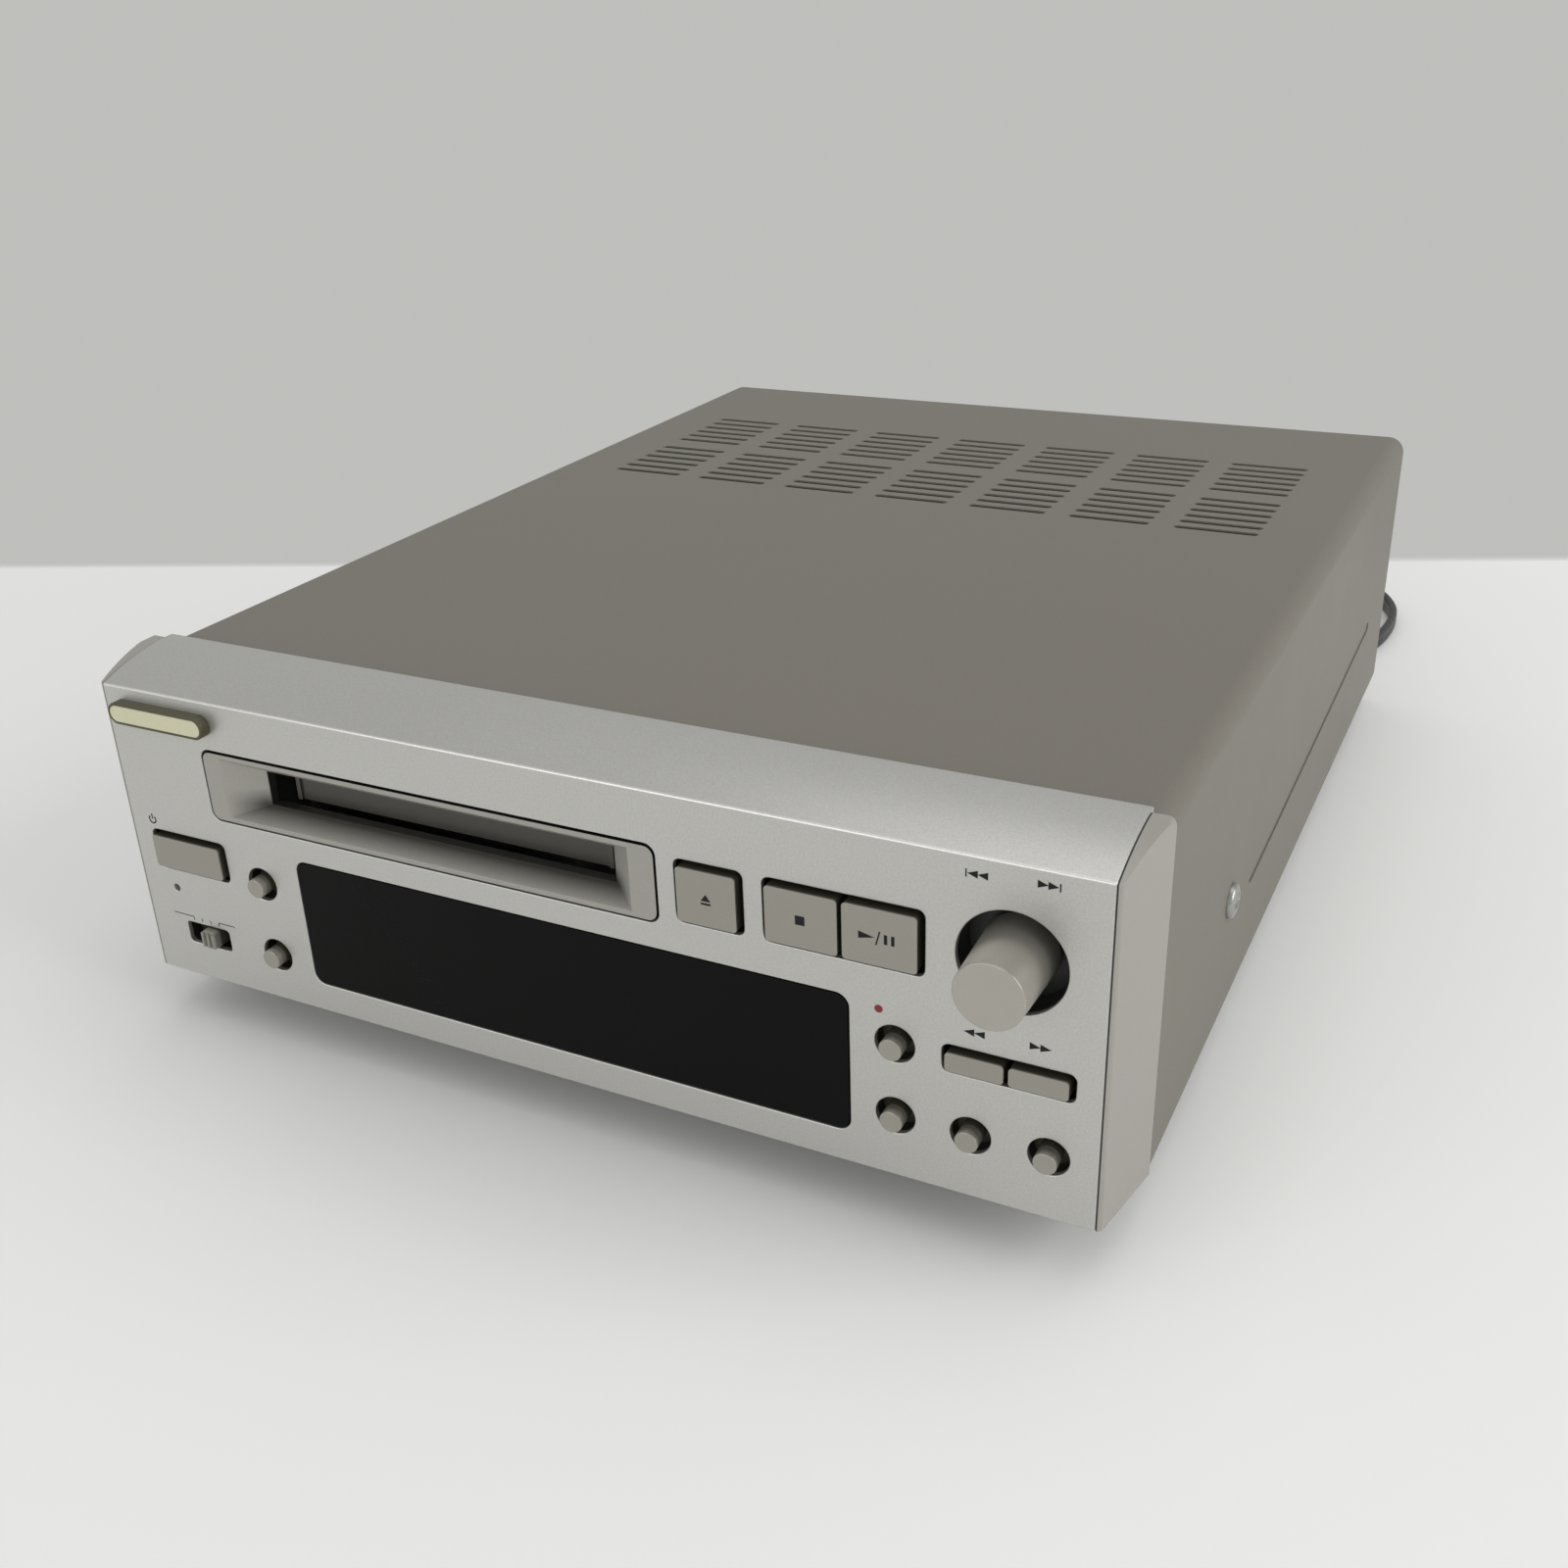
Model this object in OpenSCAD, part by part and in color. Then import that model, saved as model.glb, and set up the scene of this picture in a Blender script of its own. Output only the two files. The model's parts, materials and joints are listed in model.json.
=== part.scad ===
/* [Case] */
// Width over the two end cheeks of the front
body_w = 205; // [195:1:215]
// Depth of the steel case, from the panel face to the rear
case_d = 260; // [250:1:290]
// Height of the front panel at its front edge
panel_h = 62.5; // [61:0.5:68]
// How much the curved crown rises above the front edge
crown_rise = 3.6; // [3:0.2:4.2]
// Depth of the crown from front to back
crown_d = 18.7; // [18:0.1:22]
// Depth of the end cheeks from front to back
cheek_d = 17.1; // [16:0.1:18]
// Width of each end cheek beside the aluminium skin
cheek_w = 4; // [3.5:0.1:4.6]
// How far the steel cover sits in from the cheeks at each side
cover_inset = 1.2; // [1:0.1:1.6]
// How far the steel cover lies below the top of the crown
cover_drop = 1.6; // [1.5:0.1:2.5]
// How far the case floor hangs below the front panel
floor_drop = 2.5; // [2:0.1:4]
// Thickness of the sheet steel
sheet_t = 1; // [0.8:0.1:1.2]
// Outside radius of the bends along the cover's top edges
bend_r = 4; // [3:0.5:6]
// Height of each foot
foot_h = 8; // [6:0.5:12]
// Diameter of each foot
foot_d = 26; // [18:1:30]

/* [Vents] */
// Number of vent columns across the cover
vent_columns = 7; // [3:1:7]
// Number of slots in each vent block
vent_slots = 6; // [2:1:6]
// Length of one vent slot
vent_len = 19.2; // [14:0.2:21]
// Width of one vent slot
vent_w = 2; // [1.4:0.1:2.6]
// Spacing of the vent columns
vent_pitch_x = 24.7; // [23:0.1:26]
// Spacing of the slots in a block
vent_pitch_y = 4.84; // [4.2:0.02:5]
// Distance from the first slot of one block to the first slot of the next
vent_block_pitch = 33.3; // [30:0.1:40]
// Distance of the rearmost slot from the rear of the case
vent_rear = 40.5; // [36:0.5:60]

/* [Front panel] */
// Thickness of the aluminium skin
panel_t = 1; // [0.8:0.1:1.4]
// Thickness of the moulded front behind the skin
frame_t = 2.1; // [1.8:0.1:2.3]
// Gap between the window and the round keys left of it
window_left_gap = 5.45; // [4:0.05:9]
// Gap between the window and the round keys right of it
window_right_gap = 4.45; // [4:0.05:9]
// Height of the display window
window_h = 26.8; // [20:0.2:27.4]
// Corner radius of the display window
window_r = 2.4; // [1:0.2:4]
// Height of the window's middle above the panel's lower edge
window_z = 19.6; // [18:0.1:20]
// Clearance round the parts that are set into the panel
set_gap = 0.25; // [0.15:0.05:0.4]

/* [Disc slot] */
// Width of a disc cartridge
disc_w = 72; // [70:0.5:72.5]
// Depth of a disc cartridge
disc_d = 68; // [66:0.5:69]
// Thickness of a disc cartridge
disc_h = 5; // [4.6:0.1:5.2]
// Distance of the slot's middle from the panel's right end
slot_in = 123.7; // [122.6:0.1:125]
// Height of the slot's middle above the panel's lower edge
slot_z = 45.3; // [44.8:0.1:45.8]
// Clearance of the slot at each side of the cartridge
slot_side_gap = 1.2; // [0.8:0.1:1.4]
// Clearance of the slot above and below the cartridge
slot_flat_gap = 0.95; // [0.8:0.05:1.1]
// Depth of the funnel in front of the slot
funnel_d = 3.7; // [3:0.1:4.2]
// Run of the funnel's left slope
funnel_left = 9.6; // [7:0.1:10]
// Run of the funnel's right slope
funnel_right = 5; // [4:0.1:6]
// Run of the funnel's upper and lower slopes
funnel_flat = 2.6; // [2:0.1:2.8]
// Plain lip left of the funnel
bezel_lip = 4.2; // [3:0.1:5]
// Plain lip right of the funnel
bezel_lip_right = 5.1; // [3:0.1:5.4]
// Corner radius of the slot surround
bezel_r = 2; // [1:0.1:3]
// Thickness of the slot's flap
door_t = 1.2; // [1:0.1:1.6]
// Distance by which the disc holder lowers
holder_drop = 6; // [5:0.1:6.5]
// Travel of the cam plates
cam_travel = 14; // [12:0.5:14.5]

/* [Keys] */
// How far the oblong keys stand out of the panel
key_out = 1; // [0.8:0.1:1.6]
// Travel of every key
key_travel = 0.7; // [0.4:0.1:0.8]
// Gap between a key and the edge of its opening
key_gap = 0.85; // [0.5:0.05:1]
// Gap between two keys in one opening
pair_gap = 0.8; // [0.6:0.1:1.2]
// Width of the standby key's opening
power_w = 18.7; // [16:0.1:19.5]
// Height of the standby key's opening
power_h = 8.5; // [7:0.1:9]
// Width of the eject key's opening
eject_w = 12.6; // [11:0.1:13.2]
// Height of the eject and play openings
play_h = 11.8; // [10:0.1:12.4]
// Width of the stop and play opening
play_w = 27.8; // [25:0.1:28.6]
// Width of the search opening
seek_w = 21.8; // [20:0.1:22.6]
// Height of the search opening
seek_h = 5.2; // [4.6:0.1:5.6]
// Radius of the holes for the round keys
round_hole_r = 3.45; // [3:0.05:3.6]
// Radius of the round keys
round_r = 2.1; // [1.8:0.05:2.4]
// How far the round keys stand out of the panel
round_out = 2; // [1.5:0.1:3]
// Width of the mode switch's slot
mode_w = 11; // [10.6:0.1:11.6]
// Height of the mode switch's slot
mode_h = 4.7; // [4:0.1:5]
// Spacing of the mode switch's positions
mode_step = 2.2; // [2:0.1:2.3]

/* [Jog knob] */
// Radius of the hole that the knob stands in
jog_hole_r = 8.9; // [8.4:0.1:9.4]
// Radius of the knob at its front
jog_r = 5.7; // [5:0.1:6]
// How much wider the knob is at its foot
jog_flare = 0.5; // [0:0.1:0.7]
// How far the knob stands out of the panel
jog_out = 10; // [8:0.5:14]
// Travel of the knob when it is pushed
jog_travel = 0.6; // [0.4:0.1:0.8]

/* [Power supply] */
// Width of the transformer's core
core_w = 44; // [40:1:46]
// Depth of the transformer's core
core_d = 28; // [24:1:30]
// Height of the transformer's core
core_h = 36; // [32:1:40]
// Height of the heat sink
sink_h = 24; // [16:1:30]
// Width of the heat sink
sink_w = 22; // [18:4:26]

/* [Mains lead] */
// Width of the flat twin lead
lead_w = 5.2; // [5:0.1:5.4]
// Thickness of the flat twin lead
lead_t = 2.7; // [2.4:0.1:2.9]
// Number of turns in the stowed coil
coil_turns = 8; // [6:2:8]
// Radius of the coil's inmost turn
coil_r = 22; // [20:0.5:25]
// Sideways spacing of the turns
coil_step = 3.3; // [3.2:0.05:3.6]

/* [Hidden] */
$fn = 40;
rest_gap = 0.02;                        // between faces that rest on each other
phono_out = 8.5;                        // the sockets stand out of the rear
depth = jog_out + case_d + phono_out;
panel_y = jog_out - depth / 2;          // the panel's front face
panel_z = foot_h + floor_drop;          // the panel's lower edge
panel_top = panel_h + crown_rise;
panel_w = body_w - 2 * cheek_w;
panel_end = panel_w / 2;                // the skin's right end
slot_x = panel_end - slot_in;
seam = 0.05;                            // the skin lies this far off the moulding
crown_r = (crown_d * crown_d + crown_rise * crown_rise) / (2 * crown_rise);
frame_front = panel_t + seam;
frame_back = frame_front + frame_t;
cheek_round = 0.8;                      // front corner of the cheeks
cheek_edge = 1;                         // the cheeks are this wide at their front
tab_front = 12;                         // front of the tabs inside the cheeks
case_w = body_w - 2 * cover_inset;
cover_top = panel_top - cover_drop;
cover_front = cheek_d + 0.3;
pan_w = case_w - 2 * sheet_t - 0.2;
rear_y = case_d - sheet_t - rest_gap;   // rear edge of the floor
pan_front = cheek_d + 0.2;
floor_z = -floor_drop + sheet_t;        // upper side of the floor
vent_r = vent_w / 2;
side_screw = [72.4, 22.3];              // place of the side screws, y and z
flange_h = side_screw[1] + floor_drop + 5;
tab_low = 5;
tab_h = flange_h - floor_drop - tab_low;
screw_r = 1.5;
groove_d = 0.35;                        // groove along the cover's sides
groove_r = 1.4;
groove_z = 21.6;
groove_angle = 1.75;
foot_in = 26;                           // the feet stand this far in from the sides
foot_front = 42;
foot_back = case_d - 30;
pad_h = 2;

// Slot
throat_w = disc_w + 2 * slot_side_gap;
throat_h = disc_h + 2 * slot_flat_gap;
mouth_l = slot_x - throat_w / 2 - funnel_left;
mouth_r = slot_x + throat_w / 2 + funnel_right;
mouth_h = throat_h + 2 * funnel_flat;
bezel_w = mouth_r - mouth_l + bezel_lip + bezel_lip_right;
bezel_h = mouth_h + 2.4;
bezel_x = (mouth_l - bezel_lip + mouth_r + bezel_lip_right) / 2;
throat_back = funnel_d + 2;
door_w = disc_w - 1;
door_axis_y = throat_back + 2.6;
door_axis_z = throat_h / 2 + 1.6;       // above the slot's middle
door_low = throat_h / 2 - 0.55;         // below the slot's middle
hinge_pin_r = 0.8;
run_gap = 0.06;                         // radial play of a running fit

// Keys: middle of each opening on the panel
power_at = [-panel_end + 13.95, 28.35];
eject_at = [panel_end - 66.55, 45.35];
play_at = [panel_end - 42.85, 45.45];
seek_at = [panel_end - 15.1, 25.8];
dubbing_at = [-panel_end + 31.7, 25.8];
input_at = [-panel_end + 32.2, 10.15];
record_at = [panel_end - 34, 25.9];
display_at = [panel_end - 33.9, 12];
edit_at = [panel_end - 21, 12];
confirm_at = [panel_end - 8.05, 12];
mode_at = [-panel_end + 14.4, 10.15];
jog_at = [panel_end - 15.1, 45.6];
lamp_at = [-panel_end + 8.1, 19.9];
lamp_r = 0.7;
window_left = input_at[0] + round_hole_r + window_left_gap;
window_right = record_at[0] - round_hole_r - window_right_gap;
window_w = window_right - window_left;
window_x = (window_left + window_right) / 2;
round_keys = [dubbing_at, input_at, record_at, display_at, edit_at, confirm_at];
key_r = 0.7;                            // corner radius of the oblong keys
open_r = 1.3;                           // corner radius of their openings
stop_y = frame_back + 0.3;              // front of the flange that keeps a key in
flange_t = 1.2;
board_y = 14;                           // front face of the control board
board_t = 1.6;
tube_in = 8;                            // the display tube is narrower than the window by this at each end
tube_front = frame_back + 2.5;
key_post_x = (eject_at[0] + eject_w / 2 + play_at[0] - play_w / 2) / 2;
boss_at = [[-panel_end + 27.5, 18], [panel_end - 27.5, 19], [key_post_x, 45], [jog_at[0] - 11.9, 55]];
switch_h = 3.5;
stem_end = board_y - switch_h - key_travel - 0.3;
mode_knob_w = 3.2;
mode_rest = mode_step / 2;              // the third of four positions
pair_w = (play_w - 2 * key_gap - pair_gap) / 2;
seek_key_w = (seek_w - 2 * key_gap - pair_gap) / 2;

// Jog knob
cup_floor = 6.2;
jog_back = cup_floor - jog_travel - 0.6;
shaft_r = 3;
shaft_end = board_y - 3.4;
cup_wall = 1.4;
encoder_front = cup_floor + cup_wall;

// Disc mechanism, measured from the slot's middle
wall_t = 0.8;
holder_in = disc_w / 2 + 0.6;
holder_out = holder_in + wall_t;
holder_front = door_axis_y + door_axis_z + door_low + 0.8;
holder_back = holder_front + disc_d + 6;
disc_y = holder_front + 4 + disc_d / 2; // centre of the disc
lid_z = disc_h / 2 + 0.4;
pin_r = 1;
pin_y = [holder_front + 14, holder_front + 60];
cam_in = holder_out + 0.8;
cam_t = 1;
frame_in = cam_in + cam_t + 1;
frame_wall = 1;
pin_end = frame_in + frame_wall + 0.4;
slot_play = 0.12;
cam_angle = atan(holder_drop / cam_travel);
cam_slot = norm([holder_drop, cam_travel]);
base_z = -19.5;
base_t = 1.2;
deck_front = 20;
deck_back = 112;
post_at = [for (x = [-1, 1], y = [deck_front + 6, deck_back - 8]) [x * (frame_in - 12), y]];
rod_y = [disc_y - 12, disc_y + 12];
rod_z = -14;
rod_r = 1.2;
screw_y = disc_y + 18;
sled_r = 1.3;
sled_x = 10.6;
sled_w = 12;
arm_post_w = 7;
arm_reach = 27;                         // the arm's post stands behind the screw
lens_x = sled_x + 4.4;
sled_travel = 14;
arm_y = screw_y + 28;                   // pivot of the head arm
arm_z = 7;
arm_pin_r = 0.7;
motor_r = 10;
gear_m = 0.75;
gear_teeth = 16;
gear_pr = gear_m * gear_teeth / 2;
gear_y = 86;
cam_low = -9.9;                         // lower edge of the cam plates
rack_z = cam_low - 1.5;                         // pitch line of the rack
gear_z = rack_z - gear_pr;
gear_pin_r = 1.2;
worm_r = 2;
worm_shaft_r = 1;
worm_x = cam_in + 0.5;
worm_z = gear_z - gear_pr - worm_r - 1;
motor_y = gear_y + 12;                  // front of the loading motor
load_motor_r = 5;
load_motor_l = 16;
sled_motor_r = 4;

// Rear
strap_t = 1.2;
strap_w = 12;
strap_foot = 10;
flange_d = 12;                          // the bobbin's flanges reach past the core
fin_t = 1.4;
fin_d = 8;
fin_step = 4;
board_low = 6;                          // underside of the main board
board_top = board_low + board_t;
board_front = deck_back + 10;
board_back = case_d - 4;
board_right = pan_w / 2 - 6.2;
coil_w = core_w * 3 / 4;
core_at = [-pan_w / 2 + 10.2 + core_w / 2, case_d - 60];
board_left = core_at[0] + core_w / 2 + 2;
board_step = mouth_r + bezel_lip_right + 1.9; // the control board rises right of the slot
board_holes = [for (x = [board_left + 4, board_right - 4], y = [board_front + 4, board_back - 14]) [x, y]];
jack_step = 14;                         // distance between two sockets of a pair
jack_pair = [-jack_step / 2, jack_step / 2];
phono_r = 4.2;
phono_d = 12;
phono_h = 32;
phono_at = [38, board_top + 16.4];
optical_w = 9.6;
optical_h = 8.6;
optical_at = [-2, board_top + optical_h / 2];
control_r = 3;
control_at = [-28, board_top + 4];
lead_at = [60, 17];
relief_w = 9.8;
relief_h = 7.8;
top_screws = [for (k = [-1, 0, 1]) [k * (pan_w / 2 - 12.2), cover_top - 6]];
rear_screws = concat(top_screws, [phono_at]);

module at_panel() translate([0, panel_y, panel_z]) children();
module at_slot() at_panel() translate([slot_x, 0, slot_z]) children();
module along_x(w) rotate([90, 0, 90]) linear_extrude(w, center = true) children();
module along_y(a, b) translate([0, b, 0]) rotate([90, 0, 0]) linear_extrude(b - a) children();

// Corner points of a rectangle with rounded corners, middle at the origin
function round_rect(w, h, r, n = 5) = [
  for (c = [[1, 1, 0], [-1, 1, 90], [-1, -1, 180], [1, -1, 270]], i = [0:n])
    [c[0] * (w / 2 - r) + r * cos(c[2] + 90 * i / n),
     c[1] * (h / 2 - r) + r * sin(c[2] + 90 * i / n)]];

// Points of the crown's arc at a depth t under its surface, from the back to the front
function crown_arc(t, y0, y1, n = 16) = [
  for (i = [0:n]) let (y = y1 + (y0 - y1) * i / n)
    [y, panel_top - crown_r + sqrt(pow(crown_r - t, 2) - pow(crown_d - y, 2))]];

// Side outline of all that lies t behind the front face and under the crown
module side_shape(t, back, low = 0)
  polygon(concat([[t, low], [back, low]], crown_arc(t, t, back)));

module face_hole(at, w, h, r, y0 = -1, y1 = 9)
  translate([at[0], 0, at[1]]) along_y(y0, y1) polygon(round_rect(w, h, r));

module face_bore(at, r, y0 = -1, y1 = 9)
  translate([at[0], y1, at[1]]) rotate([90, 0, 0]) cylinder(y1 - y0, r, r);

// Every opening of the front, cut through the skin and the moulding alike
module panel_openings() {
  face_hole([window_x, window_z], window_w, window_h, window_r);
  face_hole([bezel_x, slot_z], bezel_w, bezel_h, bezel_r);
  face_hole(power_at, power_w, power_h, open_r);
  face_hole(eject_at, eject_w, play_h, open_r);
  face_hole(play_at, play_w, play_h, open_r);
  face_hole(seek_at, seek_w, seek_h, open_r);
  face_hole(mode_at, mode_w, mode_h, 0.8);
  for (at = round_keys) face_bore(at, round_hole_r);
  face_bore(jog_at, jog_hole_r);
  face_bore(lamp_at, lamp_r + run_gap);
}

// ---- case ----

module cover_outline(t)
  polygon(concat([[case_w / 2 - t, -floor_drop - (t > 0 ? 1 : 0)]],
    [for (i = [0:6]) let (a = 90 * i / 6, r = max(bend_r - t, 0.4))
      [case_w / 2 - t - r + r * cos(a), cover_top - t - r + r * sin(a)]],
    [for (i = [6:-1:0]) let (a = 90 * i / 6, r = max(bend_r - t, 0.4))
      [-(case_w / 2 - t - r + r * cos(a)), cover_top - t - r + r * sin(a)]],
    [[-(case_w / 2 - t), -floor_drop - (t > 0 ? 1 : 0)]]));

module top_cover() color("#7a746b") at_panel() difference() {
  union() {
    along_y(cover_front, case_d) difference() {
      cover_outline(0);
      cover_outline(sheet_t);
    }
    // tabs behind which the rear panel is screwed on
    for (at = top_screws) translate([at[0] - 6, rear_y - sheet_t, at[1] - 5]) cube([12, sheet_t, 10.5]);
  }
  for (at = top_screws) face_bore(at, screw_r, case_d - 4, case_d);
  for (block = [0, 1], i = [0:vent_slots - 1], j = [0:vent_columns - 1])
    translate([(j - (vent_columns - 1) / 2) * vent_pitch_x,
        case_d - vent_rear - block * vent_block_pitch - i * vent_pitch_y, cover_top - sheet_t - 1])
      linear_extrude(sheet_t + 2) polygon(round_rect(vent_len, vent_w, vent_r * 0.98, 2));
  translate([0, side_screw[0], side_screw[1]]) rotate([0, 90, 0])
    cylinder(case_w + 2, screw_r + 0.1, screw_r + 0.1, center = true);
  // shallow groove pressed along each side
  for (s = [-1, 1]) translate([s * (case_w / 2 + 1 - groove_d), 0, 0])
    slot_cut(case_d - 122, groove_r, groove_angle, [case_d - 30, groove_z], 2);
}

module chassis_pan() color("#b9bab8") at_panel() difference() {
  union() {
    translate([-pan_w / 2, pan_front, -floor_drop]) cube([pan_w, rear_y - pan_front, sheet_t]);
    for (s = [0, 1]) mirror([s, 0, 0]) translate([pan_w / 2 - sheet_t, 0, 0]) {
      translate([0, pan_front, -floor_drop]) cube([sheet_t, rear_y - pan_front, flange_h]);
      // tab that holds the moulded front between its cheeks
      translate([0, tab_front, tab_low]) cube([sheet_t, pan_front + 1 - tab_front, tab_h]);
    }
    for (y = [60, 150]) translate([-pan_w / 2 + 12, y, floor_z - 0.1]) cube([pan_w - 24, 4, 1.3]);
    for (at = board_holes) translate([at[0], at[1], -floor_drop])
      cylinder(floor_drop + board_low - rest_gap, 3, 3);
  }
  for (x = [-1, 1], y = [foot_front, foot_back])
    translate([x * (body_w / 2 - foot_in), y, -floor_drop - 1]) cylinder(3, screw_r, screw_r);
  translate([0, side_screw[0], side_screw[1]]) rotate([0, 90, 0])
    cylinder(case_w, screw_r, screw_r, center = true);
  for (i = [0:9]) translate([-20 + i * 6, 115, -floor_drop - 1])
    linear_extrude(3) polygon(round_rect(2.4, 30, 1.1));
}

module rear_panel() color("#8b867d") at_panel() difference() {
  along_y(case_d - sheet_t, case_d) polygon(topped(pan_w / 2, -floor_drop, cover_top - sheet_t - 0.2,
      bend_r));
  for (x = jack_pair, z = jack_pair) face_bore(phono_at + [x, z], phono_r + 0.2, case_d - 2, case_d + 1);
  for (x = jack_pair) face_hole(optical_at + [x, 0], optical_w + 0.6, optical_h + 0.6, 0.8, case_d - 2,
      case_d + 1);
  for (x = jack_pair) face_bore(control_at + [x, 0], control_r + 0.3, case_d - 2, case_d + 1);
  face_hole(lead_at, relief_w + 0.6, relief_h + 0.6, 2, case_d - 2, case_d + 1);
  for (at = rear_screws) face_bore(at, screw_r, case_d - 2, case_d + 1);
}

module feet() color("#2b2b2b") for (x = [-1, 1], y = [foot_front, foot_back])
  translate([x * (body_w / 2 - foot_in), panel_y + y, 0]) rotate_extrude() polygon([
    [3.2, pad_h + 1.5], [foot_d / 2 - 2.5, pad_h + 1.5], [foot_d / 2 - 2.5, pad_h],
        [foot_d / 2 - 1.8, pad_h - 0.8],
    [foot_d / 2 - 0.6, pad_h], [foot_d / 2, foot_h], [1.7, foot_h], [1.7, foot_h - 2], [3.2, foot_h - 2]]);

module foot_pads() color("#3a3a3a") for (x = [-1, 1], y = [foot_front, foot_back])
  translate([x * (body_w / 2 - foot_in), panel_y + y, 0]) rotate_extrude() polygon([
    [4, 0], [foot_d / 2 - 3.4, 0], [foot_d / 2 - 2.6, 0.8], [foot_d / 2 - 2.6, pad_h + 1.45],
        [4, pad_h + 1.45]]);

// Screw with a domed head, its head's underside at the origin and its shank along -Z
module screw(head_r, head_h, shank) rotate_extrude() polygon(concat([[0, -shank], [screw_r - 0.1, -shank],
  [screw_r - 0.1, 0], [head_r, 0], [head_r, head_h * 0.35]],
  [for (i = [1:4]) [head_r * cos(22.5 * i), head_h * (0.35 + 0.65 * sin(22.5 * i))]]));

module screws() color("#c9c9c6") {
  at_panel() for (s = [-1, 1]) translate([s * case_w / 2, side_screw[0], side_screw[1]])
    rotate([0, s * 90, 0]) screw(3.4, 1.6, 3);
  at_panel() for (at = rear_screws) translate([at[0], case_d, at[1]])
    rotate([-90, 0, 0]) screw(2.9, 1.6, 2 * sheet_t + 1.5);
}

// ---- front ----

// Right half of the front's plan outline: the cheek slants outwards behind a small rounded corner
function cheek_outline() = concat([[0, 0.2]],
  [for (i = [0:5]) let (a = -90 + 80 * i / 5) [panel_end + cheek_edge - cheek_round * (1 - cos(a)),
    0.2 + cheek_round * (1 + sin(a))]],
  [[body_w / 2, cheek_d], [0, cheek_d]]);
// Right half of the hollow between the cheeks, which leaves them one wall thick
function hollow_outline() = [[0, frame_back], [panel_end - 1.2, frame_back],
    [body_w / 2 - frame_t, cheek_d + 1],
  [0, cheek_d + 1]];
module both_halves() for (s = [0, 1]) mirror([s, 0]) children();

// Upright plate with rounded upper corners, from half its width and its lower and upper edges
function topped(w, low, top, r) = concat([[-w, low], [w, low]],
  [for (i = [0:4]) [w - r + r * cos(22.5 * i), top - r + r * sin(22.5 * i)]],
  [for (i = [4:-1:0]) [-w + r - r * cos(22.5 * i), top - r + r * sin(22.5 * i)]]);

module front_frame() color("#b0aca3") at_panel() difference() {
  union() {
    difference() {
      intersection() {
        along_x(body_w) side_shape(0.2, cheek_d);
        translate([0, 0, -1]) linear_extrude(panel_top + 2) both_halves() polygon(cheek_outline());
        along_y(-1, cheek_d + 1) polygon(topped(body_w / 2, 0, panel_top, 1.8));
      }
      along_x(panel_w + 2 * seam) difference() {
        side_shape(-1, crown_d + 1, -1);
        side_shape(frame_front, crown_d + 2, 0);
      }
      intersection() {
        along_x(body_w) side_shape(frame_back, cheek_d + 1, frame_t);
        linear_extrude(panel_top) both_halves() polygon(hollow_outline());
      }
      // seats of the floor's tabs
      translate([-pan_w / 2 - rest_gap, tab_front - rest_gap, tab_low - rest_gap])
        cube([pan_w + 2 * rest_gap, cheek_d, tab_h + 2 * rest_gap]);
    }
    for (at = boss_at) {
      face_bore(at, 2.2, frame_back - 0.5, board_y - rest_gap);
      face_bore(at, 1.1, frame_back, board_y + board_t + 0.6);
    }
  }
  frame_openings();
}

module frame_openings() {
  face_hole([window_x, window_z], window_w + 2, window_h + 0.6, window_r);
  face_hole([bezel_x, slot_z], bezel_w, bezel_h, bezel_r);
  face_hole(power_at, power_w, power_h, open_r);
  face_hole(eject_at, eject_w, play_h, open_r);
  face_hole(play_at, play_w, play_h, open_r);
  face_hole(seek_at, seek_w, seek_h, open_r);
  face_hole(mode_at, mode_w, mode_h, 0.8);
  for (at = round_keys) face_bore(at, round_hole_r);
  face_bore(jog_at, jog_hole_r);
  face_bore(lamp_at, lamp_r + run_gap);
}

module front_panel() color("#a5a7a2") at_panel() difference() {
  along_x(panel_w) difference() {
    side_shape(0, crown_d);
    side_shape(panel_t, crown_d + 1, -1);
  }
  panel_openings();
}

module display_window() color("#1b1d1c") at_panel() union() {
  face_hole([window_x, window_z], window_w - 2 * set_gap, window_h - 2 * set_gap, window_r - set_gap, 0.1,
      frame_back + 0.5);
  face_hole([window_x, window_z], window_w - 6, window_h + 3, window_r, frame_back + rest_gap,
      frame_back + 1.2);
}

module slot_bezel() color("#a7a298") at_slot() difference() {
  union() {
    translate([bezel_x - slot_x, 0, 0]) {
      along_y(0, frame_back + 0.5) polygon(round_rect(bezel_w - 2 * set_gap, bezel_h - 2 * set_gap,
          bezel_r - set_gap));
      along_y(frame_back + rest_gap, throat_back) polygon(round_rect(bezel_w - 6, bezel_h + 2.4, bezel_r));
    }
    for (s = [-1, 1]) translate([s * (door_w / 2 + 1.9), throat_back - 1, door_axis_z])
      translate([-1, 0, -1.8]) cube([2, door_axis_y - throat_back + 3, 3.6]);
  }
  // funnel: two crossing wedges, then the straight throat
  intersection() {
    translate([0, 0, -mouth_h]) linear_extrude(2 * mouth_h)
        polygon([[-throat_w / 2 - funnel_left, -rest_gap],
      [throat_w / 2 + funnel_right, -rest_gap], [throat_w / 2, funnel_d], [-throat_w / 2, funnel_d]]);
    along_x(2 * bezel_w) polygon([[-rest_gap, -mouth_h / 2], [-rest_gap, mouth_h / 2],
        [funnel_d, throat_h / 2],
      [funnel_d, -throat_h / 2]]);
  }
  translate([-throat_w / 2, funnel_d - 1, -throat_h / 2]) cube([throat_w, throat_back, throat_h]);
  translate([0, door_axis_y, door_axis_z]) rotate([0, 90, 0])
    cylinder(door_w + 20, hinge_pin_r + run_gap, hinge_pin_r + run_gap, center = true);
}

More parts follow.
